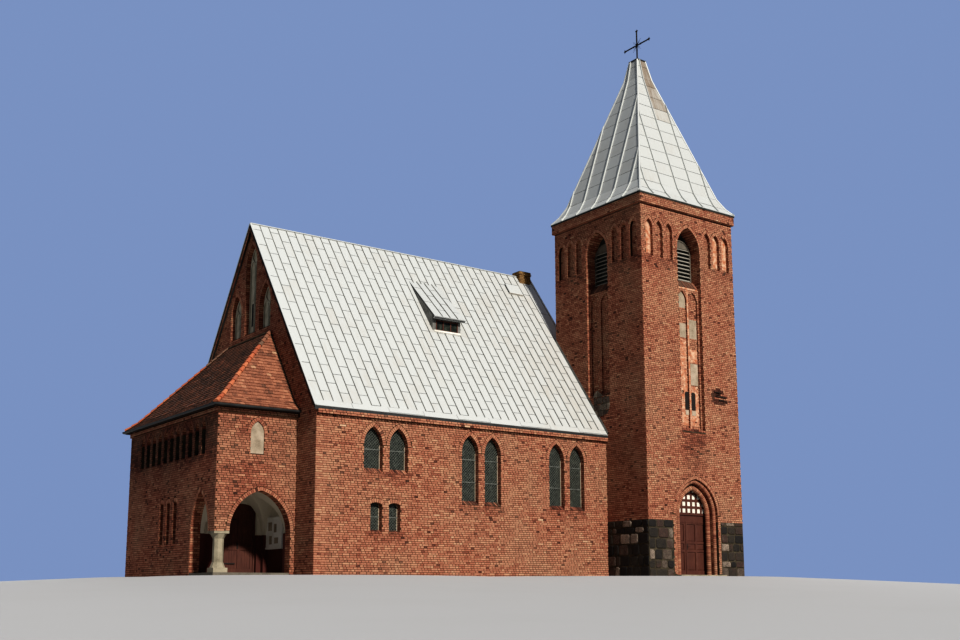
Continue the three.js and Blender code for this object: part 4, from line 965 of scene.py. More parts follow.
def split_granite():
    # Field granite split with hammer and wedge: grey, brown and rusty red grains with dark mica.
    material, tree = new_material("granite split field stone", 0.8, 0.4)
    tone = add(tree, "ShaderNodeAttribute", attribute_name="tone").outputs["Fac"]
    ramp = add(
        tree, "ShaderNodeValToRGB", {"Fac": mottled(tree, tone, (0.15, 0.35))},
        ((0.0, "#171514"), (0.3, "#2C2723"), (0.52, "#40392F"), (0.7, "#523D34"), (0.85, "#6D6155"),
         (1.0, "#A39282")),
    )
    # The grains are 3 to 5 mm in the stone and drawn at 12 mm, so that they show at all.
    place = add(tree, "ShaderNodeTexCoord").outputs["Object"]
    grains = add(tree, "ShaderNodeTexVoronoi", {"Vector": place, "Scale": 1 / 0.012})
    speckle = add(tree, "ShaderNodeSeparateColor", {0: grains.outputs["Color"]}).outputs[0]
    flecked = add(
        tree, "ShaderNodeMix", {0: speckle, 6: linear("#6F6F6F"), 7: linear("#FFFFFF")}, data_type="RGBA"
    )
    mixed = add(
        tree, "ShaderNodeMix", {0: 1.0, 6: ramp.outputs["Color"], 7: flecked.outputs[2]},
        data_type="RGBA", blend_type="MULTIPLY",
    )
    return surfaced(material, mixed.outputs[2], mottled(tree, 0.0, (0.04, 1.0, 8.0)), 0.8, 0.008)


def limed_walls():
    # Lime plaster brushed with limewash over a painted dado: oxblood below, a greyed white above as painted
    # shade.
    material, tree = new_material("plaster limewashed over a painted dado", 0.9)
    place = add(tree, "ShaderNodeTexCoord").outputs["Object"]
    height = add(tree, "ShaderNodeSeparateXYZ", {0: place}).outputs["Z"]
    above = add(tree, "ShaderNodeMath", {0: height, 1: SPRING_Z}, operation="GREATER_THAN").outputs[0]
    white = add(tree, "ShaderNodeValToRGB", {"Fac": mottled(tree, 0.0, (0.8, 1.5), (0.05, 0.6))},
                ((0.0, "#BDB4A2"), (0.5, "#ADA38F"), (1.0, "#8B7E69")))
    mixed = add(
        tree, "ShaderNodeMix", {0: above, 6: linear("#4A221A"), 7: white.outputs["Color"]}, data_type="RGBA"
    )
    return surfaced(material, mixed.outputs[2], mottled(tree, 0.0, (0.06, 1.0)), 0.4, 0.004)


def weathered_sheet():
    # Galvanised sheet gone matt: pale zinc grey, each sheet near the next in shade, with dirt runs
    # down the fall and brown rust where the tone is lowest.
    metal = bpy.context.scene.church_roofs.metal[:]
    material, tree = new_material("sheet steel galvanised and weathered", 0.55, metallic=0.1)
    tone = add(tree, "ShaderNodeAttribute", attribute_name="tone").outputs["Fac"]
    runs = mottled(tree, tone, (0.12, 0.3, 6.0), stretch=(1.0, 0.3, 0.2))
    value = mottled(tree, runs, (1.6, 0.3))
    worn = add(tree, "ShaderNodeValToRGB", {"Fac": value},
               ((0.0, "#5A4636"), (0.25, "#7C6E5E"), (0.45, "#A9A69E")))
    clean = add(tree, "ShaderNodeMath", {0: value, 1: 0.4}, operation="SUBTRACT")
    share = add(tree, "ShaderNodeMath", {0: clean.outputs[0], 1: 4.0}, operation="MULTIPLY", use_clamp=True)
    mixed = add(
        tree, "ShaderNodeMix", {0: share.outputs[0], 6: worn.outputs["Color"], 7: metal}, data_type="RGBA"
    )
    return surfaced(material, mixed.outputs[2], mottled(tree, 0.0, (0.35, 1.0)), 0.3, 0.005)


def stage_floor():
    # A pale even ground that shows only the building's shadow.
    tint = bpy.context.scene.church_stage.floor[:]
    material, tree = new_material("floor plain pale", 0.95, 0.1)
    wear = mottled(tree, 0.0, (3.0, 0.5))
    worn = add(tree, "ShaderNodeMix", {0: wear, 6: tint, 7: linear("#A09E9B")}, data_type="RGBA")
    return surfaced(material, worn.outputs[2])


# Every finish by name: the function that makes it, then what that is given, ending with the shader's
# roughness and, where they aren't the usual ones, its specular level, metallic share and coat.
FINISHES = {
    "brick": (hand_moulded_brick,),
    # Bricks of a chimney under soot, lichen and mortar washed down from its cap: olive brown.
    "sooty_brick": (
        toned, "brick fired, sooty and lichened",
        ((0.0, "#4A3A28"), (0.3, "#7A6042"), (0.6, "#9C7E52"), (1.0, "#BDA274")),
        (0.04, 0.6), (0.3, 0.4), (0.012, 0.003), 0.92, 0.25,
    ),
    "brickwork_y": (course_brickwork, "brickwork lime jointed, facing north or south", "Y"),
    "brickwork_x": (course_brickwork, "brickwork lime jointed, facing east or west", "X"),
    "granite": (split_granite,),
    # Wide joints of lime and cement between the field stones: grey brown, rough and dirty.
    # The same dark colour is painted shade on the porch lancets' jambs and under the tower recess's sill.
    "stone_mortar": (
        plain, "mortar trowelled between field stones", ("#5E5646", "#433C30", "#282219"),
        (0.3, 0.05), (0.03, 0.01), 0.95, 0.2,
    ),
    # Lime mortar alone, dull brown, where every side of a solid carries its own bricks.
    "mortar": (
        plain, "mortar lime, struck flush", ("#5E4836", "#453225", "#33241A"),
        (0.5, 0.02), (0.01, 0.003), 0.95, 0.2,
    ),
    # Dressed limestone: warm pale grey, a little greener and darker where rain runs.
    "limestone": (
        plain, "limestone dressed and weathered", ("#A69C88", "#8B8370", "#5C5545"),
        (0.35, 0.03), (0.02, 0.004), 0.8, 0.3,
    ),
    # Old lime plaster on an outside wall: beige, stained, worn back to sand.
    "plaster": (
        plain, "plaster floated and weathered", ("#B2A493", "#998C7A", "#6C604F"),
        (0.3, 0.04), (0.03, 0.006), 0.93, 0.2,
    ),
    # Plaster in the shade of a deep panel: pale lime gone a little green.
    "grey_plaster": (
        plain, "plaster floated and limed", ("#CFC9B4", "#B9B39E", "#8B8570"),
        (0.3, 0.04), (0.03, 0.006), 0.93, 0.2,
    ),
    # The same plaster mostly fallen away: thin skins of lime with the brick showing through.
    "worn_plaster": (
        plain, "plaster worn thin over brick", ("#9A5B40", "#A86A4C", "#C0A086", "#CDB8A0"),
        (0.16, 0.03), (0.03, 0.01), 0.93, 0.2,
    ),
    "limewash": (limed_walls,),
    # Trowelled cement floor: grey, worn paler where people walk.
    "concrete": (
        plain, "concrete trowelled", ("#7E776B", "#686257", "#4C473F"),
        (0.6, 0.05), (0.02, 0.003), 0.85, 0.35,
    ),
    # Plain clay tiles, unglazed: red where new, brown and grey under soot and lichen; the low tones given to
    # the west slopes are painted shade.
    "tile": (
        toned, "clay tile pressed, unglazed",
        ((0.0, "#332A24"), (0.25, "#533C30"), (0.5, "#7E523F"), (0.75, "#9A6A52"), (1.0, "#A58A6E")),
        (0.05, 0.7), (0.7, 0.35), (0.02, 0.003), 0.9, 0.25,
    ),
    # Hip tiles: fresh orange clay, grey with mortar and lichen where the tone is low.
    "hip_tile": (
        toned, "clay hip tile pressed",
        ((0.0, "#6A5546"), (0.3, "#8F5A44"), (0.55, "#A2583C"), (1.0, "#BC8460")),
        (0.06, 0.6), (0.5, 0.5), (0.02, 0.003), 0.85, 0.3,
    ),
    "sheet": (weathered_sheet,),
    # The folded edges of the same sheets, greyer than the sheets: dulled zinc with dirt, and painted shade
    # for the dark lines of the seams.
    "seam": (
        plain, "sheet steel folded into seams", ("#9A9A96", "#74746F", "#524F4B"),
        (0.4, 0.05), (0.02, 0.001), 0.5, 0.5, 0.3,
    ),
    # Sheet steel under dark paint: smooth, faintly glossy, dusty.
    "dark_metal": (
        plain, "sheet steel painted dark", ("#3A3D3C", "#2B2D2D", "#1F2020"), (0.3, 0.03), (0.02, 0.001), 0.5,
    ),
    # Iron forged and left to the weather: near black with brown rust in the pits.
    # The same near black fills the slits of the tower's recess: painted shade of their dark inside.
    "iron": (
        plain, "iron forged and weathered", ("#1D1B1A", "#262220", "#3B2A20"),
        (0.08, 0.02), (0.01, 0.002), 0.7, 0.5, 0.4,
    ),
    # Softwood under old oil paint: oxblood, chalking, with the grain lifting through it.
    "oxblood": (
        grained, "pine joinery oil painted oxblood", ("#3B231B", "#4F2C22", "#654132"), 0.02, 0.62, 0.35,
    ),
    # Bare softwood slats silvered by rain and sun.
    "silvered": (grained, "pine slats weathered silver", ("#B0AC9F", "#949086", "#6A675D"), 0.03, 0.9),
    # The boards over the slats, damp and shaded: grey brown with the grain raised.
    "grey_timber": (
        grained, "pine boards weathered grey brown", ("#7C756A", "#5F584E", "#403B33"), 0.04, 0.9,
    ),
    # Board under white gloss paint, dulled by weather.
    "white_board": (
        plain, "board painted white", ("#E3E1DA", "#D6D3CA", "#BDB8AB"), (0.5, 0.05), (0.03, 0.001), 0.55,
    ),
    # Small panes of old drawn glass behind dust: the near black is painted shade of the dark inside, and the
    # paler mottling painted reflections of panes a little askew.
    "glass": (
        plain, "glass drawn and leaded, dusty", ("#4C5147", "#272B25", "#0E100D"),
        (0.16, 0.04), (0.09, 0.006), 0.28, 0.5, 0.0, 0.3,
    ),
    # Frosted panes with the light on them: milky white.
    "frosted": (
        plain, "glass etched white", ("#E9E6DC", "#D9D5C8", "#B8B2A2"), (0.2, 0.05), (0.05, 0.001), 0.4,
    ),
    # Lead cames: soft dull grey strips.
    "lead": (
        plain, "lead drawn into cames", ("#8A8D86", "#6A6D67", "#4A4C48"),
        (0.1, 0.02), (0.01, 0.001), 0.6, 0.5, 0.5,
    ),
    # Boards under old paint gone nearly black, and dark strips and plates that stand for shade: painted shade
    # in gaps, under sills and behind the louvres.
    "old_paint": (
        plain, "board painted green black", ("#2A2F2A", "#222622", "#161816"),
        (0.3, 0.04), (0.02, 0.002), 0.7,
    ),
    "floor": (stage_floor,),
}
MADE = {}


def finish(name):
    """The material of that name, made when it is first asked for."""
    if name not in MADE:
        maker, *given = FINISHES[name]
        MADE[name] = maker(*given)
    return MADE[name]


def long_wall_windows(sills):
    """The pointed window openings of a long nave wall, two to a pair."""
    return [
        Arch(centre + side * PAIR_SPREAD, 0.755, sill, 5.2, 0.64)
        for centre, sill in zip(PAIR_CENTRES, sills)
        for side in (-1, 1)
    ]


def small_windows():
    """The pair of small windows under the first pair in the south wall."""
    return [Arch(PAIR_CENTRES[0] + side * 0.375, 0.465, 1.52, 2.545, 0.06, False) for side in (-1, 1)]


def gable_niches():
    """A gable's three blind windows, the tallest in the middle."""
    return [Arch(u, 0.96, 9.26, apex, 0.82) for u, apex in ((0, 12.81), (-1.29, 11.0), (1.29, 11.0))]


def washed(openings):
    """Darker brickwork where water runs off the window sills."""

    def shade(u, z):
        below = [a.sill - z for a in openings if abs(u - a.centre) < a.half + 0.12 and z < a.sill]
        return -0.2 * clamp(1 - min(below) / 0.55) if below else 0.0

    return shade


def nave_wall(name, place, length, openings, seed):
    """The bricks of a long wall, with rings round its openings and a band under the eaves."""
    stock = Stock()
    lay(stock, place, (0, length), (0, CORNICE_Z), openings, RING_DEPTH + 0.01, shade=washed(openings),
        seed=seed)
    lay(stock, place.raised(EAVE_OUT + 0.001), (0, length), (CORNICE_Z, EAVE_Z - 0.105), seed=seed + 1)
    for i, arch in enumerate(openings):
        ring(stock, place, arch, RING_DEPTH, seed + 2 + i)
    stock.piece(name, "brick", "red_brick")


class CHURCH_OT_nave_walls(Operator):
    """Lays the nave's long walls in bond"""

    bl_idname = "church.nave_walls"
    bl_label = "Nave walls"

    def execute(self, context):
        south = long_wall_windows(SOUTH_SILLS) + small_windows()
        nave_wall("nave_south_bricks", SOUTH_FACE, TOWER_WEST, south, 11)
        nave_wall("nave_north_bricks", NORTH_FACE, NAVE_LENGTH, long_wall_windows(NORTH_SILLS), 31)
        return {"FINISHED"}


class CHURCH_OT_gables(Operator):
    """Lays both gables round their blind lancets"""

    bl_idname = "church.gables"
    bl_label = "Gables"

    def execute(self, context):
        niches = gable_niches()
        eave = MIDDLE - PORCH_SOUTH + PORCH_OUT
        kink = eave - PORCH_KINK[0]
        knee = PORCH_EAVE_Z + PORCH_KINK[1]
        porch = [
            Gap(-1, PORCH_CORNICE[0], (PORCH_SOUTH - MIDDLE, MIDDLE - PORCH_SOUTH)),
            Gap(PORCH_CORNICE[0], PORCH_EAVE_Z, (-eave, eave)),
            Gap(PORCH_EAVE_Z, knee, (-eave, eave), (-kink, kink)),
            Gap(knee, PORCH_TOP_Z, (-kink, kink), (-PORCH_TOP_HALF, PORCH_TOP_HALF)),
        ]
        for side, place, left, gaps, seed in (
            ("west", WEST_FACE, -MIDDLE, niches + porch, 51),
            ("east", EAST_FACE, TOWER_NORTH - MIDDLE, niches, 71),
        ):
            stock = Stock()

            def edges(v):
                """The gable wall's edges under the roof, and beside the tower, at a height."""
                inward = max((v - EAVE_Z + ROOF_EDGE) * SLOPE_RUN / SLOPE_RISE - EAVE_OUT, 0)
                return max(inward - MIDDLE, left), MIDDLE - inward

            # The gables' bricks are darkened a little: painted shade for the shaded west gable, the east one
            # getting the same.
            lay(stock, place, (left, MIDDLE), (0, RIDGE_Z - ROOF_EDGE), gaps, RING_DEPTH + 0.01, edges,
                lambda u, v: -0.06, seed=seed)
            for i, arch in enumerate(niches):
                ring(stock, place, arch, RING_DEPTH, seed + i)
            stock.piece(side + "_gable_bricks", "brick", "red_brick")
            tracery = Stock()
            for arch in niches:
                lights = [
                    Arch(arch.centre + way * 0.221, 0.326, arch.sill + 0.03, arch.spring + 0.2, 0.33)
                    for way in (-1, 1)
                ]
                eye = [(arch.centre + u, arch.spring + v) for u, v in TRACERY_EYE]
                holes = [light.outline() for light in lights] + [eye]
                tracery.plate(place, arch.outline(), holes, -0.215, -0.17)
                for number, hole in enumerate(holes):
                    tracery.prism(place, hole, -0.25, -0.197)
                    # A dark rim round each hole stands for the shaded edge of its recess: painted shade.
                    middle = np.mean(hole, axis=0)
                    rim = [tuple(middle + (np.array(p) - middle) * (1.2, 1.015)) for p in hole]
                    tracery.plate(place, rim, [hole], -0.171, -0.167 + 0.001 * number, 0.5, 1)
                # The middle window's slits are dark blocks: painted shade of the dark inside.
                if arch.centre == 0:
                    for light in lights:
                        slit = (light.centre - 0.07, light.centre + 0.07)
                        tracery.block(place, slit, (9.6, 10.5), (-0.24, -0.193), 0.5, 1)
            tracery.piece(side + "_gable_tracery", "grey_plaster old_paint", "plaster")
        return {"FINISHED"}


def glaze(stock, place, arch, bars):
    """A leaded light in a plastered rebate. Kinds: 0 pane, 1 lead, 2 plaster."""
    stock.prism(place, arch.outline(0.01), -GLASS_IN - 0.05, -GLASS_IN)
    lattice(stock, place, arch, (-GLASS_IN - 0.001, -GLASS_IN + 0.009), 1)
    for height in bars:
        bar = arch.band(height - 0.018, height + 0.018, -0.01)
        stock.prism(place, bar, -GLASS_IN - 0.001, -GLASS_IN + 0.02, 0.5, 1)
    for side in (-1, 1):
        span = (arch.sill, arch.spring)
        stock.block(place, arch.jamb(side, 0.035), span, (-GLASS_IN - 0.02, -GLASS_IN + 0.006), 0.5, 2)


class CHURCH_OT_nave_windows(Operator):
    """Glazes the nave with leaded lights over sloping brick sills"""

    bl_idname = "church.nave_windows"
    bl_label = "Nave windows"

    def execute(self, context):
        for side, place, sills, low in (
            ("south", SOUTH_FACE, SOUTH_SILLS, small_windows()),
            ("north", NORTH_FACE, NORTH_SILLS, []),
        ):
            panes, sill_bricks = Stock(), Stock()
            for i, arch in enumerate(long_wall_windows(sills) + low):
                low_sill = (3.47, 4.31) if arch.sill < 3 else (4.4,)
                glaze(panes, place, arch, low_sill if arch.pointed else (2.05,))
                u = (arch.left + 0.004, arch.right - 0.004)
                v = (arch.sill - 0.025, arch.sill + (0.13 if arch.pointed else 0.08))
                on_edge(sill_bricks, place, u, v, (0.03, -GLASS_IN + 0.01), 90 + i)
            panes.piece(side + "_leaded_lights", "glass lead plaster", "window_glass")
            sill_bricks.piece(side + "_window_sills", "brick", "red_brick")
        return {"FINISHED"}


class CHURCH_OT_nave_roof(Operator):
    """Covers the nave roof with seamed sheets, and trims its verges, ridge and eaves"""

    bl_idname = "church.nave_roof"
    bl_label = "Nave roof"

    def execute(self, context):
        roof = context.scene.church_roofs
        top = SLOPE - 0.012
        eave = 0.24
        west, east = -VERGE, NAVE_LENGTH + EAST_VERGE
        stock = Stock()
        meet = TOWER_WEST - 0.02
        bay = (meet - west) / round((meet - west) / roof.bay)
        # Five bays are left out round the dormer, where plain sheets lie right across instead.
        void = (west + 17 * bay, west + 22 * bay, 4.85, 7.85)
        # The lowest strip is of whole sheets, longer than it is wide, without seams.
        whole, seamless = 9, (0, 0)

        def grime(u, v):
            """Dust and soot that gather on the sheets towards the tower."""
            return -0.08 * clamp((u - 8.0) / 5)

        clad(stock, SOUTH_SLOPE, (west, meet), (eave, top), [], bay, roof.sheet, ROOF_SEAM, 3,
             void=void, shade=grime, kind=3)
        clad(stock, SOUTH_SLOPE, (west, meet), (0, eave), [], 4 * bay, whole, seamless, 4)
        for low, high, tone in ((0, 0.7, 0.53), (0.71, 1.75, 0.58), (1.76, 3.0, 0.63)):
            span = (void[2] - 0.02 + low, void[2] + 0.01 + high)
            stock.block(SOUTH_SLOPE, (void[0] + 0.008, void[1] - 0.008), span, (0.001, 0.011), tone)
        strip = (TOWER_WEST + 0.02, east - 0.06)
        clad(stock, SOUTH_SLOPE, strip, (ABUTMENT + 0.02, top), [], 1.0, 1.9, seamless, 5)
        stock.piece("nave_roof_sheets_south", ROOF_FINISHES, "sheet_roof")
        stock = Stock()
        across = (-EAST_VERGE, NAVE_LENGTH + VERGE)
        clad(stock, NORTH_SLOPE, across, (eave, top), [], roof.bay, roof.sheet, ROOF_SEAM, 6, kind=3)
        clad(stock, NORTH_SLOPE, across, (0, eave), [], 4 * roof.bay, whole, seamless, 7)
        stock.piece("nave_roof_sheets_north", ROOF_FINISHES, "sheet_roof")

        trim, verges = Stock(), Stock()
        seeds = iter(range(80, 84))
        for place, edges in (
            (SOUTH_SLOPE, ((west, 1), (east, -1))),
            (NORTH_SLOPE, ((NAVE_LENGTH - west, -1), (NAVE_LENGTH - east, 1))),
        ):
            for edge, side in edges:
                foot = ABUTMENT + 0.02 if place is SOUTH_SLOPE and side < 0 else -0.01
                u = sorted((edge - 0.022 * side, edge + 0.05 * side))
                trim.block(place, u, (foot, SLOPE), (0.012, 0.034), 0.95)
                board = sorted((edge - 0.012 * side, edge - 0.002 * side))
                trim.block(place, board, (foot, SLOPE - 0.09), (-0.05, 0.013), 0.5, 2)
                rake = Place(place.at((edge, 0, 0)), -side * place.v, place.w)
                span = sorted((-side * (foot + 0.1), -side * (SLOPE - 0.16)))
                # The verge bricks are darkened: painted shade under the roof's edge.
                lay(verges, rake, span, (-0.154, -0.05), shade=lambda u, v: -0.32, seed=next(seeds))
            low, high = edges[0][0], edges[1][0]
            end = (low, TOWER_WEST - 0.02) if place is SOUTH_SLOPE else (high, low)
            trim.block(place, end, (-0.02, -0.001), (-0.055, 0.012), 0.8)
        verges.piece("nave_verge_bricks", "brick", "red_brick")
        level = RIDGE_Z + 0.03
        joints = [*np.arange(west, CHIMNEY[0] - 0.01, 1.6), CHIMNEY[0] - 0.01]
        ridge = Stock()
        for a, b in zip(joints, joints[1:]):
            ridge.rod((a + 0.004, MIDDLE, level), (b - 0.004, MIDDLE, level), 0.03, 12, tone=0.9)
        made = ridge.piece("nave_ridge_roll", ROOF_FINISHES, "sheet_roof")
        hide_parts("ridge_cap")
        face = TOWER_FACES["west"]
        low, high = TOWER_Y + EAVE_OUT, -TOWER_HALF
        foot, head = EAVE_Z, EAVE_Z + ABUTMENT / SLOPE * SLOPE_RISE
        upstand = [(low, foot), (low, foot + 0.17), (high, head + 0.17), (high, head)]
        trim.prism(face, upstand[::-1], 0.0, 0.014, 0.35, 3)
        trim.piece("nave_roof_trim", ROOF_FINISHES, "sheet_roof")
        return {"FINISHED"}


class CHURCH_OT_dormer(Operator):
    """Covers the dormer's roof with sheets, frames its window and lays the hatch's lid"""

    bl_idname = "church.dormer"
    bl_label = "Dormer and hatch"

    def execute(self, context):
        roof = context.scene.church_roofs
        stock = Stock()
        west, east = DORMER_EAVE
        slope = Place((0, 2.6, 10.3), (1, 0, 0), (0, 1.96, 1.88))
        clad(stock, slope, (west + 0.02, east - 0.02), (0, 2.7), [], roof.bay, 1.1, ROOF_SEAM, 8, kind=3)
        stock.block(slope, DORMER_EAVE, (-0.02, 0.0), (-0.1, 0.02), 0.7)
        front = Place((0, DORMER_FRONT, 0), (1, 0, 0))
        for u in DORMER_MULLIONS:
            stock.block(front, (u - 0.022, u + 0.022), (9.78, 10.19), (-0.03, 0.012), 0.5, 4)
        for v in DORMER_RAILS:
            stock.block(front, (6.71, 7.77), (v - 0.02, v + 0.02), (-0.03, 0.01), 0.5, 4)
        stock.block(front, (6.6, 7.86), (9.705, 9.775), (0.0, 0.07), 0.5, 5)
        # A black strip under the sill: painted shadow of the sill.
        stock.block(front, (6.62, 7.84), (9.655, 9.705), (-0.05, 0.045), 0.5, 2)
        lid = SOUTH_SLOPE.raised(0.066)
        west, east = HATCH
        low = (HATCH_FOOT + EAVE_OUT) / SLOPE_RUN * SLOPE
        stock.block(lid, HATCH, (low - 0.02, low + 0.57), (0.0, 0.03), 0.7)
        stock.block(lid, (west - 0.01, east + 0.01), (low - 0.035, low - 0.02), (-0.06, 0.03), 0.5, 5)
        stock.piece("dormer_and_hatch_sheets", ROOF_FINISHES + " oxblood white_board", "sheet_roof")
        return {"FINISHED"}


class CHURCH_OT_chimney(Operator):
    """Lays the chimney's bricks up to an overhanging cap"""

    bl_idname = "church.chimney"
    bl_label = "Chimney"

    def execute(self, context):
        west, east, south, north, foot, top = CHIMNEY
        stock = Stock()
        corners = ((west, south, 0), (east, south, 0), (east, north, 0), (west, north, 0))
        shaft, cap = (0, foot, top - 0.15), ((0.03, top - 0.154, top - 0.077), (0.015, top - 0.077, top))
        for i, (start, end) in enumerate(pairs(corners)):
            place = Place(start, np.subtract(end, start))
            width = math.dist(start, end)
            for out, low, high in (shaft, *cap):
                span = (-out, width + out)
                lay(stock, place.raised(out), span, (low, high), shade=lambda u, v: -0.2, seed=110 + i)
        crown = Place((west, south, top), (1, 0, 0), (0, 1, 0))
        flue = rectangle(0.14, 0.47, 0.14, 0.37)
        stock.plate(crown, rectangle(-0.01, 0.62, -0.01, 0.52), [flue], -0.05, 0.03, 0.2, 1)
        stock.piece("chimney_bricks", "sooty_brick stone_mortar", "red_brick")
        return {"FINISHED"}


def porch_openings():
    """The gaps in the porch's south, west and north faces."""
    lancets = [Arch(-(2.58 + i * 0.587), 0.35, 4.1, 5.285, 0.3) for i in range(11)]
    slits = [Arch(-(4.94 + i * 0.635), 0.335, 1.12, 2.66, 0.12) for i in range(3)]
    south, north = (Arch(centre, 0.5, 4.11, 5.225, 0.4) for centre in (-1.49, 1.49))
    return [SOUTH_ARCH, south], [WEST_ARCH] + lancets + slits, [north]


class CHURCH_OT_porch_walls(Operator):
    """Lays the porch's walls, arches, lancets and niches"""

    bl_idname = "church.porch_walls"
    bl_label = "Porch walls"

    def execute(self, context):
        south, west, north = porch_openings()
        stock = Stock()
        walls = (
            ("south", (-PORCH_DEPTH, -0.01), south, [Gap(-1, SPRING_Z, (-4, -0.18))], 150),
            ("west", (-PORCH_NORTH, -PORCH_SOUTH), west, [Gap(-1, SPRING_Z, (-2.92, -1.39))], 170),
            ("north", (0.01, PORCH_DEPTH), north, [], 190),
        )
        for side, width, arches, gaps, seed in walls:
            place = PORCH_FACES[side]

            def porch_darkening(u, v):
                """A little darker than the nave, and darker still up between the western lancets: painted
                shade of the eave.
                """
                return -0.1 - (0.24 * clamp((v - 3.8) / 0.5) if side == "west" else 0.0)

            lay(stock, place, width, (0, PORCH_CORNICE[0]), arches + gaps, 0.13, shade=porch_darkening, seed=seed)
            end = PORCH_CORNICE_OUT
            band = (width[0] - (0 if side == "north" else end), width[1] + (0 if side == "south" else end))
            lay(stock, place.raised(end), band, PORCH_CORNICE, seed=seed + 1)
            for i, arch in enumerate(arches):
                limits = [(1, 0, -0.005)] if side == "south" else []
                # The high western lancets' rings are darkened as painted shade under the eave; the others a
                # little, as darker bricks.
                high = side == "west" and arch.sill > SPRING_Z + 1
                ring(stock, place, arch, 0.12, seed + 2 + i, planes=limits, darkening=0.3 if high else 0.06)
        stock.piece("porch_bricks", "brick", "red_brick")

        dressings = Stock()
        for side, arch in (("south", south[1]), ("north", north[0])):
            dressings.prism(PORCH_FACES[side], arch.outline(-0.002), -0.1, -0.03, 0.5)
        place = PORCH_FACES["west"]
        for arch in west[1:]:
            sill = rectangle(arch.left, arch.right, arch.sill - 0.01, arch.sill + 0.06)
            dressings.prism(place, sill, -0.3, lambda a, b: 0.012 - 2.4 * (b - arch.sill), 0.4, 1)
        # The lancets' plastered jambs take the dark stone mortar: painted shade in the deep openings.
        for arch in west[1:12]:
            for way in (-1, 1):
                span = (arch.sill + 0.05, arch.spring)
                dressings.block(place, arch.jamb(way, 0.014), span, (-0.28, -0.012), 0.5, 2)
        dressings.piece("porch_plaster_and_sills", "plaster brick stone_mortar", "plaster")

        panes = Stock()
        for arch in west[1:]:
            panes.prism(place, arch.outline(0.01), -0.31, -0.28)
            inner = half_planes(arch.outline())
            for height in np.arange(arch.sill + 0.3, arch.apex, 0.3):
                bar = clip(rectangle(arch.centre - 0.2, arch.centre + 0.2, height, height + 0.022), inner)
                panes.prism(place, bar, -0.281, -0.262, 0.5, 1)
            post = clip(rectangle(arch.centre - 0.012, arch.centre + 0.012, arch.sill, arch.apex), inner)
            panes.prism(place, post, -0.281, -0.26, 0.5, 1)
        panes.piece("porch_panes", "glass lead", "window_glass")
        return {"FINISHED"}


def porch_slopes():
    """Each slope of the porch roof as a face and its outline on it, the kicked foot before the rest."""
    run, rise = PORCH_KINK
    foot = math.hypot(run, rise)
    west_eave, south_eave = -PORCH_DEPTH - PORCH_OUT, PORCH_SOUTH - PORCH_OUT
    north_eave = PORCH_NORTH + PORCH_OUT
    west, south, north = west_eave + run, south_eave + run, north_eave - run
    knee = PORCH_EAVE_Z + rise
    up = PORCH_TOP_Z - knee
    low, high = MIDDLE - PORCH_TOP_HALF, MIDDLE + PORCH_TOP_HALF
    side, long = math.hypot(low - south, up), math.hypot(west, up)
    slopes = (
        ((0, south_eave, PORCH_EAVE_Z), (1, 0, 0), (0, run, rise),
         [(west_eave, 0), (0, 0), (0, foot), (west, foot)]),
        ((0, south, knee), (1, 0, 0), (0, low - south, up), [(west, 0), (0, 0), (0, side)]),
        ((west_eave, 0, PORCH_EAVE_Z), (0, -1, 0), (run, 0, rise),
         [(-north_eave, 0), (-south_eave, 0), (-south, foot), (-north, foot)]),
        ((west, 0, knee), (0, -1, 0), (-west, 0, up),
         [(-north, 0), (-south, 0), (-low, long), (-high, long)]),
        ((0, north_eave, PORCH_EAVE_Z), (-1, 0, 0), (0, -run, rise),
         [(0, 0), (-west_eave, 0), (-west, foot), (0, foot)]),
        ((0, north, knee), (-1, 0, 0), (0, high - north, up), [(0, 0), (-west, 0), (0, side)]),
    )
    return [(Place(origin, along, climb), outline) for origin, along, climb, outline in slopes]


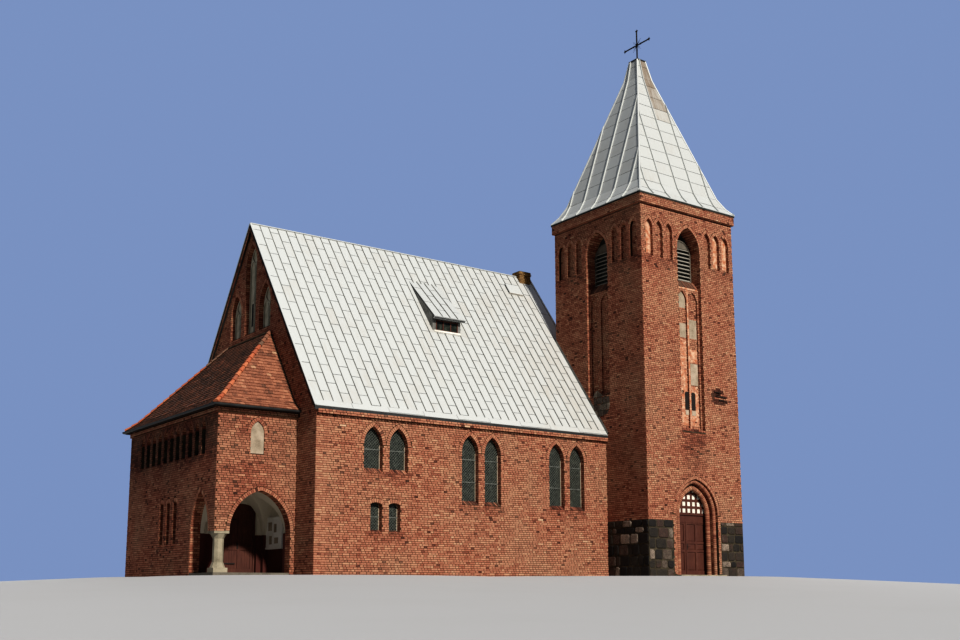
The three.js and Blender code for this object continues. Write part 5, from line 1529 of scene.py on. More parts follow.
class CHURCH_OT_porch_roof(Operator):
    """Tiles the porch roof and hangs its gutter"""

    bl_idname = "church.porch_roof"
    bl_label = "Porch roof"

    def execute(self, context):
        roof = context.scene.church_roofs
        stock = Stock()
        for i, (place, outline) in enumerate(porch_slopes()):
            (left, foot), (right, top) = np.min(outline, axis=0), np.max(outline, axis=0)
            # The west slopes get a low tone: painted shade of slopes that lie in shade.
            tone = 0.27 if i in (2, 3) else 0.58
            tile(stock, place, (left, right), (foot, top), half_planes(outline), roof.tile, roof.tile_row,
                 200 + i, tone)
        stock.piece("porch_tiles", "tile", "clay_tile")
        hips = Stock()
        run, rise = PORCH_KINK
        west = -PORCH_DEPTH - PORCH_OUT
        for side, end, top in (
            (1, PORCH_SOUTH - PORCH_OUT, MIDDLE - PORCH_TOP_HALF),
            (-1, PORCH_NORTH + PORCH_OUT, MIDDLE + PORCH_TOP_HALF),
        ):
            inward, bend = end + run * side, PORCH_EAVE_Z + rise
            eave = (west + 0.02, end + 0.02 * side, PORCH_EAVE_Z + 0.03)
            knee = (west + run, inward, bend + 0.02)
            peak = (-0.02, top, PORCH_TOP_Z)
            half_round(hips, eave, knee, 220)
            shoulder = tuple(k + 0.76 * (p - k) for k, p in zip(knee, peak))
            half_round(hips, knee, shoulder, 230 + side)
            half_round(hips, shoulder, peak, 234 + side, 0.1)
            fillet = [(-0.03, end, PORCH_EAVE_Z), (-0.03, inward, bend), (-0.03, top, PORCH_TOP_Z)]
            for start, stop in zip(fillet, fillet[1:]):
                hips.rod(start, stop, 0.045, kind=1, tone=0.4)
        low, high = ((-0.03, MIDDLE + way * PORCH_TOP_HALF, PORCH_TOP_Z) for way in (-1, 1))
        hips.rod(low, high, 0.055, kind=1, tone=0.4)
        hips.piece("porch_hip_tiles", "hip_tile stone_mortar", "clay_tile", smooth=True)

        gutter = Stock()
        wide = 0.0525
        line = wide + 0.002
        south, north = PORCH_SOUTH - PORCH_OUT - line, PORCH_NORTH + PORCH_OUT + line
        path = [
            (-0.002, south, 0, -1), (west - line, south, -1, -1), (west - line, north, -1, 1),
            (-0.002, north, 0, 1),
        ]
        turns = [math.pi * (1 + k / 10) for k in range(11)]

        def section(i):
            x, y, out_x, out_y = path[i]
            rim = [(wide, t) for t in turns] + [(wide - 0.006, t) for t in reversed(turns)]
            return [
                (x + r * math.cos(t) * out_x, y + r * math.cos(t) * out_y, GUTTER_Z + r * 1.5 * math.sin(t))
                for r, t in rim
            ]

        gutter.sweep(path, section)
        for x in np.arange(-3.0, -0.2, 0.7):
            for y, side in ((PORCH_SOUTH - PORCH_OUT, -1), (PORCH_NORTH + PORCH_OUT, 1)):
                gutter.rod((x, y, 5.66), (x, y + side * 0.115, 5.69), 0.009)
        for y in np.arange(1.5, 9.8, 0.75):
            gutter.rod((west, y, 5.66), (west - 0.115, y, 5.69), 0.009)
        made = gutter.piece("porch_gutter_half_round", "dark_metal", "dark_metal")
        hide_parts("porch_gutter")
        return {"FINISHED"}


class CHURCH_OT_loggia(Operator):
    """Vaults and plasters the open loggia, and hangs the notice board in it"""

    bl_idname = "church.loggia"
    bl_label = "Loggia"

    def execute(self, context):
        west, east = -PORCH_DEPTH + PORCH_WALL, -0.004
        south, north = PORCH_SOUTH + PORCH_WALL, LOGGIA_NORTH
        xs = np.linspace(west, east, 37)
        ys = np.linspace(south, north, 29)

        def height(arch, across):
            off = abs(across - arch.centre)
            if off >= arch.half:
                return SPRING_Z
            back = arch.radius - arch.half
            return SPRING_Z + math.sqrt(max(arch.radius**2 - (off + back) ** 2, 0))

        stock = Stock()
        lower = [(x, y, max(height(SOUTH_ARCH, x), height(WEST_ARCH, -y))) for x in xs for y in ys]
        upper = [(x, y, CEILING_Z - 0.004) for x in xs for y in ys]
        wide, n = len(ys), len(lower)
        faces = []
        for i in range(len(xs) - 1):
            for k in range(wide - 1):
                a, b, c, d = i * wide + k, (i + 1) * wide + k, (i + 1) * wide + k + 1, i * wide + k + 1
                faces += [(a, d, c, b), (n + a, n + b, n + c, n + d)]
        border = [*range(wide)] + [i * wide + wide - 1 for i in range(1, len(xs))]
        border += [(len(xs) - 1) * wide + k for k in range(wide - 2, -1, -1)]
        border += [i * wide for i in range(len(xs) - 2, 0, -1)]
        faces += [(a, n + a, n + b, b) for a, b in pairs(border)]
        stock.add(lower + upper, faces, 0.5)
        wall = 0.012
        west_wall, rear = Place((west, 0, 0), (0, 1, 0)), Place((0, north, 0), (1, 0, 0))
        stock.block(Place((east, 0, 0), (0, -1, 0)), (-north, -south), (FLOOR_TOP, 3.1), (0, wall))
        stock.block(west_wall, (3.45, north), (FLOOR_TOP, 3.1), (0, wall))
        stock.block(west_wall, (1.93, 3.45), (2.9, 3.1), (0, wall))
        door = Arch(-0.98, 1.24, FLOOR_TOP - 0.05, 2.595, 0.155, False)
        doorway = [(u, max(v, FLOOR_TOP + 0.004)) for u, v in door.outline()]
        stock.plate(rear, rectangle(west, east, FLOOR_TOP, 3.19), [doorway], 0, wall)
        for pier in ((-0.18, east), (west, -2.395)):
            stock.block(rear, pier, (FLOOR_TOP, SPRING_Z), (0, 0.2))
        stock.block(Place((0, south, 0), (1, 0, 0)), (-0.18, east), (FLOOR_TOP, SPRING_Z), (-0.17, -0.001))
        stock.piece("loggia_vault_and_plaster", "limewash", "plaster")

        board = Stock()
        face = Place((-0.08, 0, 0), (0, -1, 0))
        board.plate(face, rectangle(*BOARD), [rectangle(*BOARD, 0.07)], 0.001, 0.03)
        board.block(face, (-3.54, -2.26), (1.03, 2.04), (0.001, 0.006))
        rng = random.Random(5)
        sheets = (
            (-3.3, 1.62, 0.3, 0.3), (-2.85, 1.55, 0.21, 0.3), (-3.2, 1.14, 0.21, 0.3),
            (-2.8, 1.16, 0.3, 0.21),
        )
        for u, v, across, tall in sheets:
            board.block(face, (u, u + across), (v, v + tall), (0.006, 0.009), rng.random(), 1)
        board.piece("notice_board_frame", "white_board plaster", "white_board")
        return {"FINISHED"}


def tower_openings(side):
    """The recess and the niches of one tower face."""
    niches = [Arch(way * (1.12 + i * 0.56), 0.39, 12.85, 14.4, 0.34) for way in (-1, 1) for i in range(3)]
    return Arch(0, 1.31, RECESS_SILLS[side], 14.42, 0.95), niches


def blind_lights(side):
    """The two blind windows in the back of a recess."""
    sill = RECESS_SILLS[side] + 0.08
    return [Arch(way * 0.31, 0.5, sill, 11.7, 0.42) for way in (-1, 1)]


def tower_dirt_and_shade(side):
    """Darker brickwork where water runs from the sills, and painted shade: the west face a little darker, and
    a dark band under the cornice.
    """

    def shade(u, z):
        # The west face lies in shade: painted shade darkens its bricks a little.
        dark = -0.08 if side == "west" else 0.0
        # A dark band just under the cornice: painted shadow of its overhang.
        if z > TOWER_TOP - 0.08:
            dark -= 0.4
        if 12.1 < z < 12.85 and abs(u) > 0.75:
            dark -= 0.18 * (z - 12.1) / 0.75
        if side == "south" and abs(u) < 0.7 and z < 5.9:
            dark -= 0.24 * clamp((z - 3.2) / 1.9) * clamp(1.2 - abs(u))
        if side == "south":
            scars = (((u - x) / wide) ** 2 + ((z - y) / tall) ** 2 for x, y, wide, tall in SCARS)
            dark -= 0.5 * any(scar < 1 for scar in scars)
        return dark

    return shade


class CHURCH_OT_tower_walls(Operator):
    """Lays the tower's four faces with their recesses, niches and cornice"""

    bl_idname = "church.tower_walls"
    bl_label = "Tower walls"

    def execute(self, context):
        for number, (side, place) in enumerate(TOWER_FACES.items()):
            recess, niches = tower_openings(side)
            seed = 300 + 40 * number
            stock = Stock()
            holes = [recess, *niches] + [PORTAL] * (side == "south")
            wide = (-TOWER_HALF, TOWER_HALF)
            lay(stock, place, wide, (PLINTH_TOP, TOWER_TOP), holes, 0.13, shade=tower_dirt_and_shade(side), seed=seed)
            for i, arch in enumerate([recess, *niches]):
                ring(stock, place, arch, 0.12, seed + 1 + i)
            if side == "south":
                ring(stock, place, PORTAL, 0.12, seed + 20)
                for way in (-1, 1):
                    jamb = sorted((way * 1.2, way * 1.34))
                    lay(stock, place, jamb, (FLOOR_TOP, PLINTH_TOP), seed=seed + 22 + way)
            width = (recess.left, recess.right)
            lights = blind_lights(side)
            lay(stock, place.raised(-RECESS_IN), width, (recess.sill, SEAL_TOP), lights, seed=seed + 25)
            backs = [(light, LIGHT_IN, 26 + i) for i, light in enumerate(lights)]
            backs += [(niche, NICHE_IN, 30 + i) for i, niche in enumerate(niches)]
            for arch, inward, later in backs:
                span = (arch.sill, arch.apex)
                lay(stock, place.raised(-inward), (arch.left, arch.right), span, seed=seed + later)
            on_edge(stock, place, width, (recess.sill - 0.06, recess.sill + 0.08), (0.03, -RECESS_IN + 0.01),
                    seed + 37)
            on_edge(stock, place, width, (SEAL_TOP + 0.01, BELFRY_SILL + 0.03), (-RECESS_IN + 0.03, -0.405),
                    seed + 38)
            for i, arch in enumerate(niches):
                on_edge(stock, place, (arch.left, arch.right), (arch.sill - 0.03, arch.sill + 0.06),
                        (0.02, -NICHE_IN + 0.01), seed + 31 + i)
            rim = place.raised(TOWER_CORNICE_OUT)
            reach = TOWER_HALF + TOWER_CORNICE_OUT
            lay(stock, rim, (-reach, reach), (TOWER_TOP, TOWER_CORNICE_TOP), seed=seed + 39)
            stock.piece("tower_" + side + "_bricks", "brick", "red_brick")
        return {"FINISHED"}


class CHURCH_OT_tower_plaster(Operator):
    """Patches of plaster left in the tower's recess and niches, mortar and rubble, and old iron"""

    bl_idname = "church.tower_plaster"
    bl_label = "Tower plaster"

    def execute(self, context):
        stock = Stock()
        place = TOWER_FACES["south"]
        recess, niches = tower_openings("south")
        left, right = blind_lights("south")
        whole = ((left, 11.0, 12.0), (left, 9.75, 10.35), (right, 9.75, 10.55), (right, 7.8, 8.7))
        for light, low, high in whole:
            patch = light.band(low, high, -0.02)
            stock.prism(place, patch, -LIGHT_IN - 0.01, -LIGHT_IN + 0.016)
        for low, high, top in ((-0.653, -0.6, 8.9), (-0.035, 0.03, SEAL_TOP)):
            stock.block(place, (low, high), (5.95, top), (-RECESS_IN - 0.01, -RECESS_IN + 0.014), 0.5, 2)
        strip = (SEAL_TOP - 0.07, SEAL_TOP)
        stock.block(place, (-0.6, 0.6), strip, (-RECESS_IN - 0.01, -RECESS_IN + 0.013), 0.5, 2)
        for light, low, high in ((left, 6.1, 9.7), (right, 6.1, 7.75), (right, 8.75, 9.3)):
            patch = light.band(low, high, -0.03)
            stock.prism(place, patch, -LIGHT_IN - 0.01, -LIGHT_IN + 0.011, 0.5, 2)
        for arch in (niches[2], niches[4], niches[5]):
            stock.prism(place, arch.band(13.0, 99, -0.012), -NICHE_IN - 0.01, -NICHE_IN + 0.012, 0.5, 2)
        # The slits are dark solids: painted shade of their dark inside.
        for u in (-0.14, 0.22):
            slit = Arch(u, 0.23, 6.76, 7.5, 0.09)
            stock.prism(place, slit.outline(), -LIGHT_IN, -LIGHT_IN + 0.024, 0.5, 1)
            stock.block(place, (u - 0.1, u + 0.13), (6.54, 6.74), (-LIGHT_IN, -LIGHT_IN + 0.02))
        west = TOWER_FACES["west"]
        stock.prism(west, RUBBLE, -0.005, 0.012, 0.5, 3)
        rng = random.Random(71)
        for row in range(4):
            left, low = -0.4 + rng.uniform(0, 0.12), 6.52 + 0.285 * row
            while left < 0.6:
                right = left + rng.uniform(0.2, 0.36)
                stone = clip(RUBBLE, half_planes(rectangle(left, right - 0.035, low, low + 0.25)))
                if len(stone) > 2 and np.ptp(stone, axis=0).min() > 0.06:
                    stock.prism(west, stone, 0.0, rng.uniform(0.018, 0.035), rng.uniform(0.72, 0.95), 4)
                left = right
        # A dark strip under the recess's sill: painted shadow of the sill.
        stock.block(place, (-0.68, 0.68), (recess.sill - 0.1, recess.sill - 0.062), (-0.01, 0.022), 0.5, 3)
        stock.piece("tower_plaster_patches", "plaster iron worn_plaster stone_mortar granite", "plaster")

        iron = Stock()
        for u, v, length in ((1.32, 7.42, 0.62), (1.5, 7.28, 0.5), (1.25, 7.6, 0.35)):
            iron.rod(place.at((u, v, 0.03)), place.at((u + length, v - 0.02, 0.05)), 0.018, 8)
        for u, v in ((1.4, 7.45), (1.78, 7.38), (1.62, 7.55)):
            iron.rod(place.at((u, v, -0.05)), place.at((u, v + 0.02, 0.14)), 0.014, 8)
        iron.piece("tower_iron_remains", "iron", "wrought_iron")
        return {"FINISHED"}


class CHURCH_OT_tower_plinth(Operator):
    """Builds up the tower's plinth from split field stones"""

    bl_idname = "church.tower_plinth"
    bl_label = "Tower plinth"

    def execute(self, context):
        stock = Stock()
        for side, left, right, seed in (
            ("south", -TOWER_HALF, -1.36, 401), ("south", 1.36, TOWER_HALF, 402),
            ("east", -TOWER_HALF, TOWER_HALF, 411), ("north", -TOWER_HALF, TOWER_HALF, 421),
            ("west", TOWER_Y, TOWER_HALF, 431),
        ):
            field_stones(stock, TOWER_FACES[side], (left, right), (0, PLINTH_TOP), seed)
        stock.piece("tower_plinth_stones", "granite", "granite")
        return {"FINISHED"}


def portal_path(inset, step):
    """Points up the portal's left jamb and over to the point of its arch, evenly spaced."""
    half, radius = PORTAL.half - inset, PORTAL.radius - inset
    back = PORTAL.radius - PORTAL.half
    sweep = math.acos(back / radius)
    jamb, arc = PORTAL.spring - FLOOR_TOP, radius * sweep
    count, turns = round(jamb / step), round(arc / step)
    upright = [(-half, FLOOR_TOP + jamb * i / count) for i in range(count)]
    angles = [sweep * i / turns for i in range(turns + 1)]
    return upright + [(back - radius * math.cos(t), PORTAL.spring + radius * math.sin(t)) for t in angles]


class CHURCH_OT_portal(Operator):
    """Lines the portal with round moulded bricks and glazes its fanlight"""

    bl_idname = "church.portal"
    bl_label = "Portal"

    def execute(self, context):
        brick = context.scene.church_bricks
        place = TOWER_FACES["south"]
        rng = random.Random(8)
        stock = Stock()
        for inset, depth, radius in ((0.09, -0.135, 0.078), (0.34, -0.25, 0.098)):
            path = portal_path(inset, brick.course)
            for side in (1, -1):
                for (u0, v0), (u1, v1) in zip(path, path[1:]):
                    along = np.array([u1 - u0, v1 - v0]) / math.hypot(u1 - u0, v1 - v0)
                    gap = along * brick.joint / 2
                    ends = [(u0 + gap[0], v0 + gap[1]), (u1 - gap[0], v1 - gap[1])]

                    def section(i):
                        (u, v), (run, rise) = ends[i], radius * along
                        turns = [(math.cos(t), math.sin(t)) for t in around(14)[::side]]
                        return place.at(
                            [(side * (u + c * rise), v - c * run, depth + radius * s) for c, s in turns]
                        )

                    stock.sweep(ends, section, tone=clamp(rng.gauss(0.52, 0.1)))
                mortar = place.at([(side * u, v, depth) for u, v in path])
                for start, end in zip(mortar, mortar[1:]):
                    stock.rod(start, end, radius - 0.009, 10, kind=1)
        stock.piece("portal_rolls", "brick mortar", "red_brick")

        light = Stock()
        clear = half_planes(PORTAL.outline(-0.33, 14))
        face = place.raised(-0.4)
        light.block(face, (-0.9, 0.9), (2.505, 2.57), (0.001, 0.03))
        middle, lowest, across, up, pane = -0.046, 2.68, 0.277, 0.272, 0.172
        for row in range(5):
            for column in range(-4, 5):
                u, v = middle + column * across, lowest + row * up
                outline = clip(rectangle(u - pane / 2, u + pane / 2, v - pane / 2, v + pane / 2), clear)
                light.prism(face, outline, 0.0005, 0.006, 0.5, 1)
        for column in range(-4, 5):
            u, half = middle + (column + 0.5) * across, (across - pane) / 2
            light.prism(face, clip(rectangle(u - half, u + half, 2.55, 4), clear), 0.0005, 0.025)
        for row in range(-1, 5):
            v, half = lowest + (row + 0.5) * up, (up - pane) / 2
            light.prism(face, clip(rectangle(-1, 1, v - half, v + half), clear), 0.0005, 0.021)
        light.piece("portal_fanlight", "oxblood frosted", "painted_timber")
        return {"FINISHED"}


def panelled_leaf(place, u, v, w, rows, columns, boards=False):
    """A framed door leaf with raised panels between its stiles and rails, or with boards in them."""
    stock = Stock()
    back, front = w
    stile, rim, flat, plank = 0.085, 0.012, 0.045, 0.1
    step = (u[1] - u[0] - stile) / columns
    cells = [
        (u[0] + stile + i * step, u[0] + (i + 1) * step, low, high)
        for low, high in rows
        for i in range(columns)
    ]
    stock.plate(place, rectangle(*u, *v), [rectangle(*cell) for cell in cells], back + 0.014, front)
    stock.block(place, (u[0] + 0.004, u[1] - 0.004), (v[0] + 0.004, v[1] - 0.004), (back, back + 0.016))
    for left, right, low, high in cells:
        sunk = back + 0.026
        stock.block(place, (left - 0.004, right + 0.004), (low - 0.004, high + 0.004), (back + 0.015, sunk))
        if boards:
            joints = np.linspace(left, right, max(round((right - left) / plank), 1) + 1)
            for a, b in zip(joints + 0.003, joints[1:] - 0.003):
                stock.block(place, (a, b), (low + 0.002, high - 0.002), (sunk - 0.002, sunk + 0.009))
            continue
        outer, inner = (rectangle(left, right, low, high, inset) for inset in (rim, flat))
        points = [(a, b, sunk) for a, b in outer] + [(a, b, sunk + 0.013) for a, b in inner]
        stock.add(place.at(points), BLOCK_FACES.tolist())
    return stock


def handle(stock, place, u, v, front, grip):
    """A door handle: its neck out of the leaf and its grip along it."""
    stock.rod(place.at((u, v, front)), place.at((u, v, front + 0.05)), 0.009, 10, kind=1)
    stock.rod(place.at((u, v, front + 0.046)), place.at((u + grip, v - 0.01, front + 0.05)), 0.01, 10, kind=1)


class CHURCH_OT_doors(Operator):
    """Hangs the panelled door leaves on their hinges"""

    bl_idname = "church.doors"
    bl_label = "Doors"

    def execute(self, context):
        place = TOWER_FACES["south"]
        thick = 0.056
        w = (-DOOR_IN - thick, -DOOR_IN)
        rows = ((0.3, 1.03), (1.12, 1.36), (1.45, 2.14))
        leaves = (
            ("tower_leaf_left_panelled", "tower_leaf_left", "tower_door_left", (-0.925, -0.257), 1),
            ("tower_leaf_right_panelled", "tower_leaf_right", "tower_door_right", (-0.247, 0.925), 2),
        )
        for name, body, node, u, columns in leaves:
            stock = panelled_leaf(place, u, (0.135, 2.5), w, rows, columns)
            left, back, front = u[0], w[1] - 0.001, w[1]
            stock.block(place, (left + 0.01, u[1] - 0.01), (2.2, 2.235), (back, front + 0.012))
            if columns == 2:
                stock.block(place, (left - 0.004, left + 0.05), (0.16, 2.19), (back, front + 0.015))
                stock.block(place, (left + 0.055, left + 0.1), (1.12, 1.36), (back, front + 0.005), 0.5, 1)
                handle(stock, place, left + 0.075, 1.26, front, 0.105)
            made = stock.piece(name, "oxblood iron", "painted_timber", body)
            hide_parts(node)
        inner = Place((0, 3.8, 0), (1, 0, 0))
        rows = ((0.3, 0.95), (1.08, 2.24))
        stock = panelled_leaf(inner, (-1.5217, -0.4383), (0.135, 2.36), (-thick, 0.0), rows, 2, True)
        stock.block(inner, (-1.05, -1.0), (0.98, 1.2), (-0.002, 0.006), 0.5, 1)
        handle(stock, inner, -0.53, 1.1, 0.0, -0.11)
        for v in (0.45, 2.0):
            stock.block(inner, (-1.51, -1.1), (v, v + 0.04), (-0.002, 0.007), 0.5, 1)
        made = stock.piece("main_leaf_boarded", "oxblood iron", "painted_timber", "main_door_leaf")
        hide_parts("main_door")
        return {"FINISHED"}


class CHURCH_OT_louvres(Operator):
    """Fits sloping slats into the belfry openings"""

    bl_idname = "church.louvres"
    bl_label = "Belfry louvres"

    def execute(self, context):
        for number, (side, place) in enumerate(TOWER_FACES.items()):
            rng = random.Random(600 + number)
            stock = Stock()
            opening = Arch(0, 1.305, BELFRY_SILL + 0.01, 14.41, 0.95)
            # A dark plate behind the louvres: painted shade of the belfry's dark inside.
            stock.prism(place, opening.outline(-0.004), -0.62, -0.58, 0.5, 1)
            board = Arch(0, 1.27, BELFRY_SILL + 0.02, 14.0, 0.62)
            stock.prism(place, board.band(13.66, board.apex, -0.04), -0.54, -0.5, 0.5, 2)
            stock.plate(place, board.outline(), [board.outline(-0.045)], -0.57, -0.475, 0.5, 2)
            for i in range(SLATS):
                lift = BELFRY_SILL + 0.07 + SLAT_PITCH * i
                tilt = math.radians(SLAT_TILT + rng.uniform(-2, 2))
                half = min(board.half, board.reach(max(lift + 0.1, board.spring))) - 0.03
                start = place.at((0, lift, -0.47))
                slat = Place(start, place.u, math.sin(tilt) * np.array(UP) - math.cos(tilt) * place.w)
                stock.block(slat, (-half, half), (0, 0.13), (-0.011, 0.011))
            made = stock.piece("louvre_slats_" + side, "silvered old_paint grey_timber", "weathered_timber")
            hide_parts("belfry_louvres_" + side)
        return {"FINISHED"}


class CHURCH_OT_helm(Operator):
    """Covers the helm roof in seamed sheets up to its cap"""

    bl_idname = "church.helm"
    bl_label = "Helm roof"

    def execute(self, context):
        roof = context.scene.church_roofs
        stock = Stock()
        wide = HELM_RINGS[0][0]

        def stains(u, v):
            """Rust run down from the cap over the middle sheets, fading out below."""
            high = clamp((v - 4.4) / 1.6)
            return -0.64 * clamp(1.3 - abs(u - 0.3 + 0.25 * high) / 0.4) * high

        for number, (side, face) in enumerate(TOWER_FACES.items()):
            axis, climbed = np.array([TOWER_X, TOWER_Y, 0.0]), 0.0
            for i, ((h0, z0), (h1, z1)) in enumerate(zip(HELM_RINGS, HELM_RINGS[1:])):
                length = math.hypot(h0 - h1, z1 - z0)
                start = axis + h0 * face.w + z0 * np.array(UP)
                place = Place(start, face.u, (h1 - h0) * face.w + (z1 - z0) * np.array(UP))
                outline = [(-h0, 0), (h0, 0), (h1, length), (-h1, length)]
                run = (lambda u, v, low=climbed: stains(u, v + low)) if side == "south" else None
                clad(stock, place, (-wide, wide), (0, length), half_planes(outline), roof.helm_bay,
                     roof.helm_sheet, (0.036, 0.064), 700 + 10 * number + i, 0.74, 0.0, shade=run)
                climbed += length
            drip = face.raised(wide - TOWER_HALF)
            # A dark strip at the helm's foot: painted shadow under its eave.
            stock.block(drip, (-wide, wide), (15.37, 15.437), (0.001, 0.012), 0.5, 2)
            stock.block(drip, (-wide - 0.01, wide + 0.01), (15.437, 15.457), (-0.03, 0.02), 0.8)

        def square(half, z):
            """The helm's four corners at a level."""
            signs = ((-1, -1), (1, -1), (1, 1), (-1, 1))
            return [(TOWER_X + x * half, TOWER_Y + y * half, z) for x, y in signs]

        for edge in zip(*(square(half, z + 0.01) for half, z in HELM_RINGS)):
            for start, end in zip(edge, edge[1:]):
                stock.rod(start, end, 0.042, tone=0.95)
        stock.sweep(HELM_CAP, lambda i: square(*HELM_CAP[i]), tone=0.6, kind=1)
        stock.piece("helm_sheets", "sheet dark_metal old_paint", "sheet_roof")
        return {"FINISHED"}


class CHURCH_OT_cross(Operator):
    """Forges the tower's cross with pointed ends and rays"""

    bl_idname = "church.cross"
    bl_label = "Tower cross"

    def execute(self, context):
        stock = Stock()
        centre = np.array([TOWER_X, TOWER_Y, CROSS_Z])
        across, up = np.array([0.0, 1.0, 0.0]), np.array(UP)
        face = Place(centre, across, UP)
        bar, arm, head = 0.022, 0.765, 0.685
        stock.block(face, (-bar, bar), (-0.76, head), (-bar, bar))
        stock.block(face, (-arm, arm), (-bar, bar), (-bar * 0.9, bar * 0.9))
        for way, side, reach in ((up, across, head), (across, up, arm), (-across, up, arm)):
            end = centre + way * reach
            stock.rod(end - way * 0.02, end + way * 0.085, 0.034, 8, 0.15)
            for turn in (-1, 1):
                stock.rod(end, end + side * turn * 0.085 + way * 0.02, 0.03, 8, 0.3)
            stock.rod(end - way * 0.035, end - way * 0.02, 0.045, 12)

        def ways(angles):
            return [math.cos(t) * across + math.sin(t) * up for t in angles]

        for way in ways(math.radians(a) for a in (45, 135, 225, 315)):
            stock.rod(centre + way * 0.03, centre + way * 0.36, 0.009, 6, 0.4)
        for way in ways(math.radians(a) for a in np.arange(11.25, 360, 22.5)):
            stock.rod(centre + way * 0.03, centre + way * 0.27, 0.006, 6, 0.4)
        hoop, east = ways(around(24)), np.array([1.0, 0.0, 0.0])

        def section(i):
            middle = centre + 0.06 * hoop[i]
            return [middle + 0.011 * (math.cos(k) * hoop[i] + math.sin(k) * east) for k in around(6)]

        stock.sweep(hoop, section, closed=True)
        foot = np.array([TOWER_X, TOWER_Y, 0.0])
        stock.rod(foot + up * 22.885, foot + up * 22.98, 0.075, 12, 0.5)
        stock.rod(foot + up * 23.0, foot + up * 23.04, 0.04, 12)
        made = stock.piece("tower_cross_forged", "iron", "wrought_iron")
        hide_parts("tower_cross")
        return {"FINISHED"}


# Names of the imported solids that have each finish
SOLID_FINISHES = {
    "concrete": "nave_floor porch_floor tower_floor",
    "brickwork_y": (
        "nave_south_wall nave_north_wall porch_south_wall porch_south_pier porch_north_wall "
        "tower_wall_portal_left tower_wall_portal_right tower_wall_south tower_wall_north portal_surround "
        "tower_cornice"
    ),
    "brickwork_x": (
        "west_gable_wall east_gable_wall porch_west_wall porch_west_wall_upper tower_wall_west "
        "tower_wall_east"
    ),
    "mortar": "chimney",
    "stone_mortar": (
        "tower_plinth_south_left tower_plinth_south_right tower_plinth_west tower_plinth_north "
        "tower_plinth_east"
    ),
    "glass": "south_window_glass north_window_glass dormer_window porch_upper_glass porch_lower_glass",
    "dark_metal": "nave_roof_south nave_roof_north dormer_roof helm_roof roof_hatch porch_gutter",
    "seam": "dormer_walls",
    "sheet": "ridge_cap",
    "limestone": "corner_column portal_step",
    "limewash": "loggia_wall_west loggia_wall_east loggia_wall_head porch_upper_floor",
    "oxblood": "main_door_frame main_door tower_door_frame tower_door_left tower_door_right",
    "silvered": "belfry_louvres_south belfry_louvres_east belfry_louvres_north belfry_louvres_west",
    "tile": "porch_roof",
    "white_board": "notice_board",
    "iron": "tower_cross",
}


class CHURCH_OT_solids(Operator):
    """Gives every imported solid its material"""

    bl_idname = "church.solids"
    bl_label = "Packed solids"

    def execute(self, context):
        named = [name for names in SOLID_FINISHES.values() for name in names.split()]
        if sorted(named) != sorted(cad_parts):
            raise RuntimeError("the finishes and the packed solids differ")
        for kind, names in SOLID_FINISHES.items():
            for name in names.split():
                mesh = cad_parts[name].data
                mesh.materials.clear()
                mesh.materials.append(finish(kind))
        return {"FINISHED"}


def ground_ring(out, z):
    """A level loop round the footprint at a distance from it."""
    loop = []
    for t in around(96):
        way = np.array([math.cos(t), math.sin(t)])
        reach = max(float(np.dot(np.subtract(corner, GROUND_MIDDLE), way)) for corner in FOOTPRINT)
        loop.append((*(GROUND_MIDDLE + way * (reach / 0.92 + out)), z))
    return loop


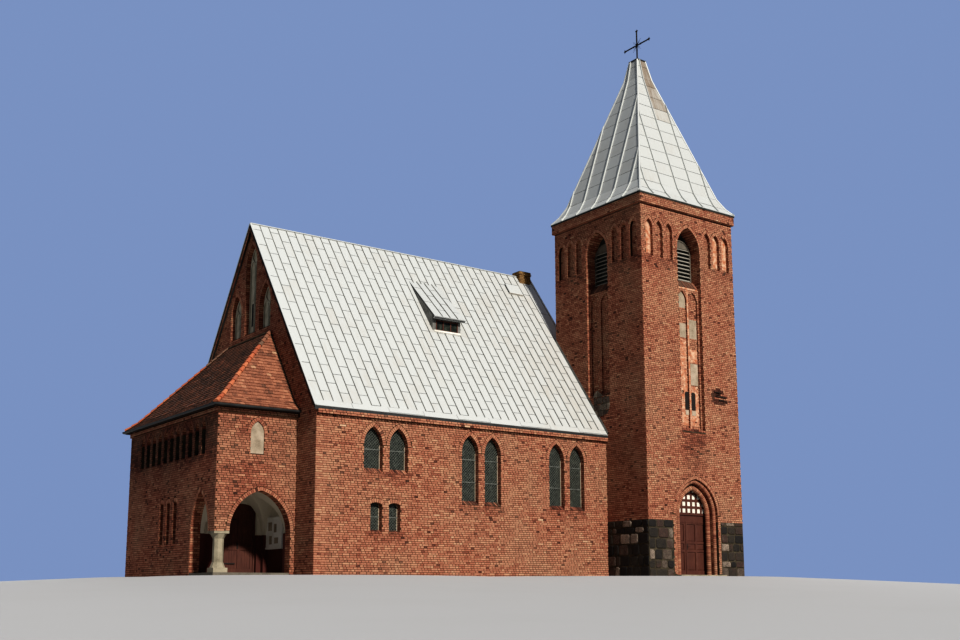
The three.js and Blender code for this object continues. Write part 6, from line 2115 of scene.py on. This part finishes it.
class CHURCH_OT_stage(Operator):
    """Lays the floor and sets the camera and the light"""

    bl_idname = "church.stage"
    bl_label = "Stage"

    def execute(self, context):
        stage = context.scene.church_stage
        loops = [ground_ring(out, z) for out, z in GROUND]
        n = len(loops[0])
        points = [point for loop in loops for point in loop] + [(*GROUND_MIDDLE, 0.0)]
        middle = len(points) - 1
        faces = [(middle, k, (k + 1) % n) for k in range(n)]
        for i in range(len(loops) - 1):
            a, b = i * n, (i + 1) * n
            faces += [(a + k, b + k, b + (k + 1) % n, a + (k + 1) % n) for k in range(n)]
        mesh = bpy.data.meshes.new("floor")
        mesh.from_pydata((np.array(points) + CORNER).tolist(), [], faces)
        mesh.materials.append(finish("floor"))
        mesh.polygons.foreach_set("use_smooth", [True] * len(faces))
        floor = bpy.data.objects.new("floor", mesh)
        context.scene.collection.objects.link(floor)

        camera_data = bpy.data.cameras.new("camera")
        camera_data.lens = stage.lens
        camera_data.shift_y = stage.rise
        camera_data.clip_end = 1000
        camera = bpy.data.objects.new("camera", camera_data)
        stand = Vector(stage.standpoint[:]) + Vector(CORNER)
        camera.matrix_world = (
            Matrix.Translation(stand)
            @ Matrix.Rotation(stage.heading - math.pi / 2, 4, "Z")
            @ Matrix.Rotation(math.pi / 2 + stage.pitch, 4, "X")
            @ Matrix.Rotation(stage.roll, 4, "Z")
        )
        context.scene.collection.objects.link(camera)
        context.scene.camera = camera

        # A warm low sun from the south, a weak wide light that fills in the far sides, and the blue of
        # the sky overhead.
        for name, energy, spread, colour, travel in (
            ("sun", 3.85, 3.5, "#FFFAF3", (0.08, 1.0, -0.74)),
            ("fill", 1.0, 40.0, "#E6EEFA", (-0.7, -1.0, -0.4)),
            ("overhead", 0.55, 50.0, "#D8E4F6", (0.0, 0.0, -1.0)),
        ):
            data = bpy.data.lights.new(name, "SUN")
            data.energy = energy
            data.angle = math.radians(spread)
            data.color = linear(colour)[:3]
            lamp = bpy.data.objects.new(name, data)
            lamp.rotation_mode = "QUATERNION"
            lamp.rotation_quaternion = Vector(travel).to_track_quat("-Z", "Y")
            context.scene.collection.objects.link(lamp)

        # The backdrop shows paler than the light it gives, so that shaded walls stay deep.
        world = bpy.data.worlds.new("sky")
        world.use_nodes = True
        tree = world.node_tree
        seen = add(tree, "ShaderNodeLightPath").outputs["Is Camera Ray"]
        backdrop = add(
            tree, "ShaderNodeMix", {0: seen, 6: linear("#434B5A"), 7: linear("#788AAD")}, data_type="RGBA"
        )
        tree.links.new(backdrop.outputs[2], tree.nodes["Background"].inputs["Color"])
        context.scene.world = world
        context.scene.view_settings.view_transform = "Standard"
        context.scene.view_settings.look = "High Contrast"
        return {"FINISHED"}


OPERATORS = (
    CHURCH_OT_solids,
    CHURCH_OT_nave_walls,
    CHURCH_OT_gables,
    CHURCH_OT_nave_windows,
    CHURCH_OT_nave_roof,
    CHURCH_OT_dormer,
    CHURCH_OT_chimney,
    CHURCH_OT_porch_walls,
    CHURCH_OT_porch_roof,
    CHURCH_OT_loggia,
    CHURCH_OT_tower_walls,
    CHURCH_OT_tower_plaster,
    CHURCH_OT_tower_plinth,
    CHURCH_OT_portal,
    CHURCH_OT_doors,
    CHURCH_OT_louvres,
    CHURCH_OT_helm,
    CHURCH_OT_cross,
    CHURCH_OT_stage,
)


class CHURCH_PT_panel(Panel):
    """Lists the church's sizes and the steps that build it."""

    bl_label = "Village Church"
    bl_idname = "CHURCH_PT_panel"
    bl_space_type = "VIEW_3D"
    bl_region_type = "UI"
    bl_category = "Church"

    def draw(self, context):
        for name in ("church_bricks", "church_roofs", "church_stage"):
            settings = getattr(context.scene, name)
            box = self.layout.box()
            for key in settings.bl_rna.properties.keys():
                if key not in ("rna_type", "name"):
                    box.prop(settings, key)
        for step in OPERATORS:
            self.layout.operator(step.bl_idname)


CLASSES = (BrickworkSettings, RoofSettings, StageSettings, *OPERATORS, CHURCH_PT_panel)


def register():
    for made in CLASSES:
        bpy.utils.register_class(made)
    bpy.types.Scene.church_bricks = PointerProperty(type=BrickworkSettings)
    bpy.types.Scene.church_roofs = PointerProperty(type=RoofSettings)
    bpy.types.Scene.church_stage = PointerProperty(type=StageSettings)


def unregister():
    del bpy.types.Scene.church_stage
    del bpy.types.Scene.church_roofs
    del bpy.types.Scene.church_bricks
    for made in reversed(CLASSES):
        bpy.utils.unregister_class(made)


def main():
    register()
    for step in OPERATORS:
        group, name = step.bl_idname.split(".")
        getattr(getattr(bpy.ops, group), name)()
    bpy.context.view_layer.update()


if __name__ == "__main__":
    main()
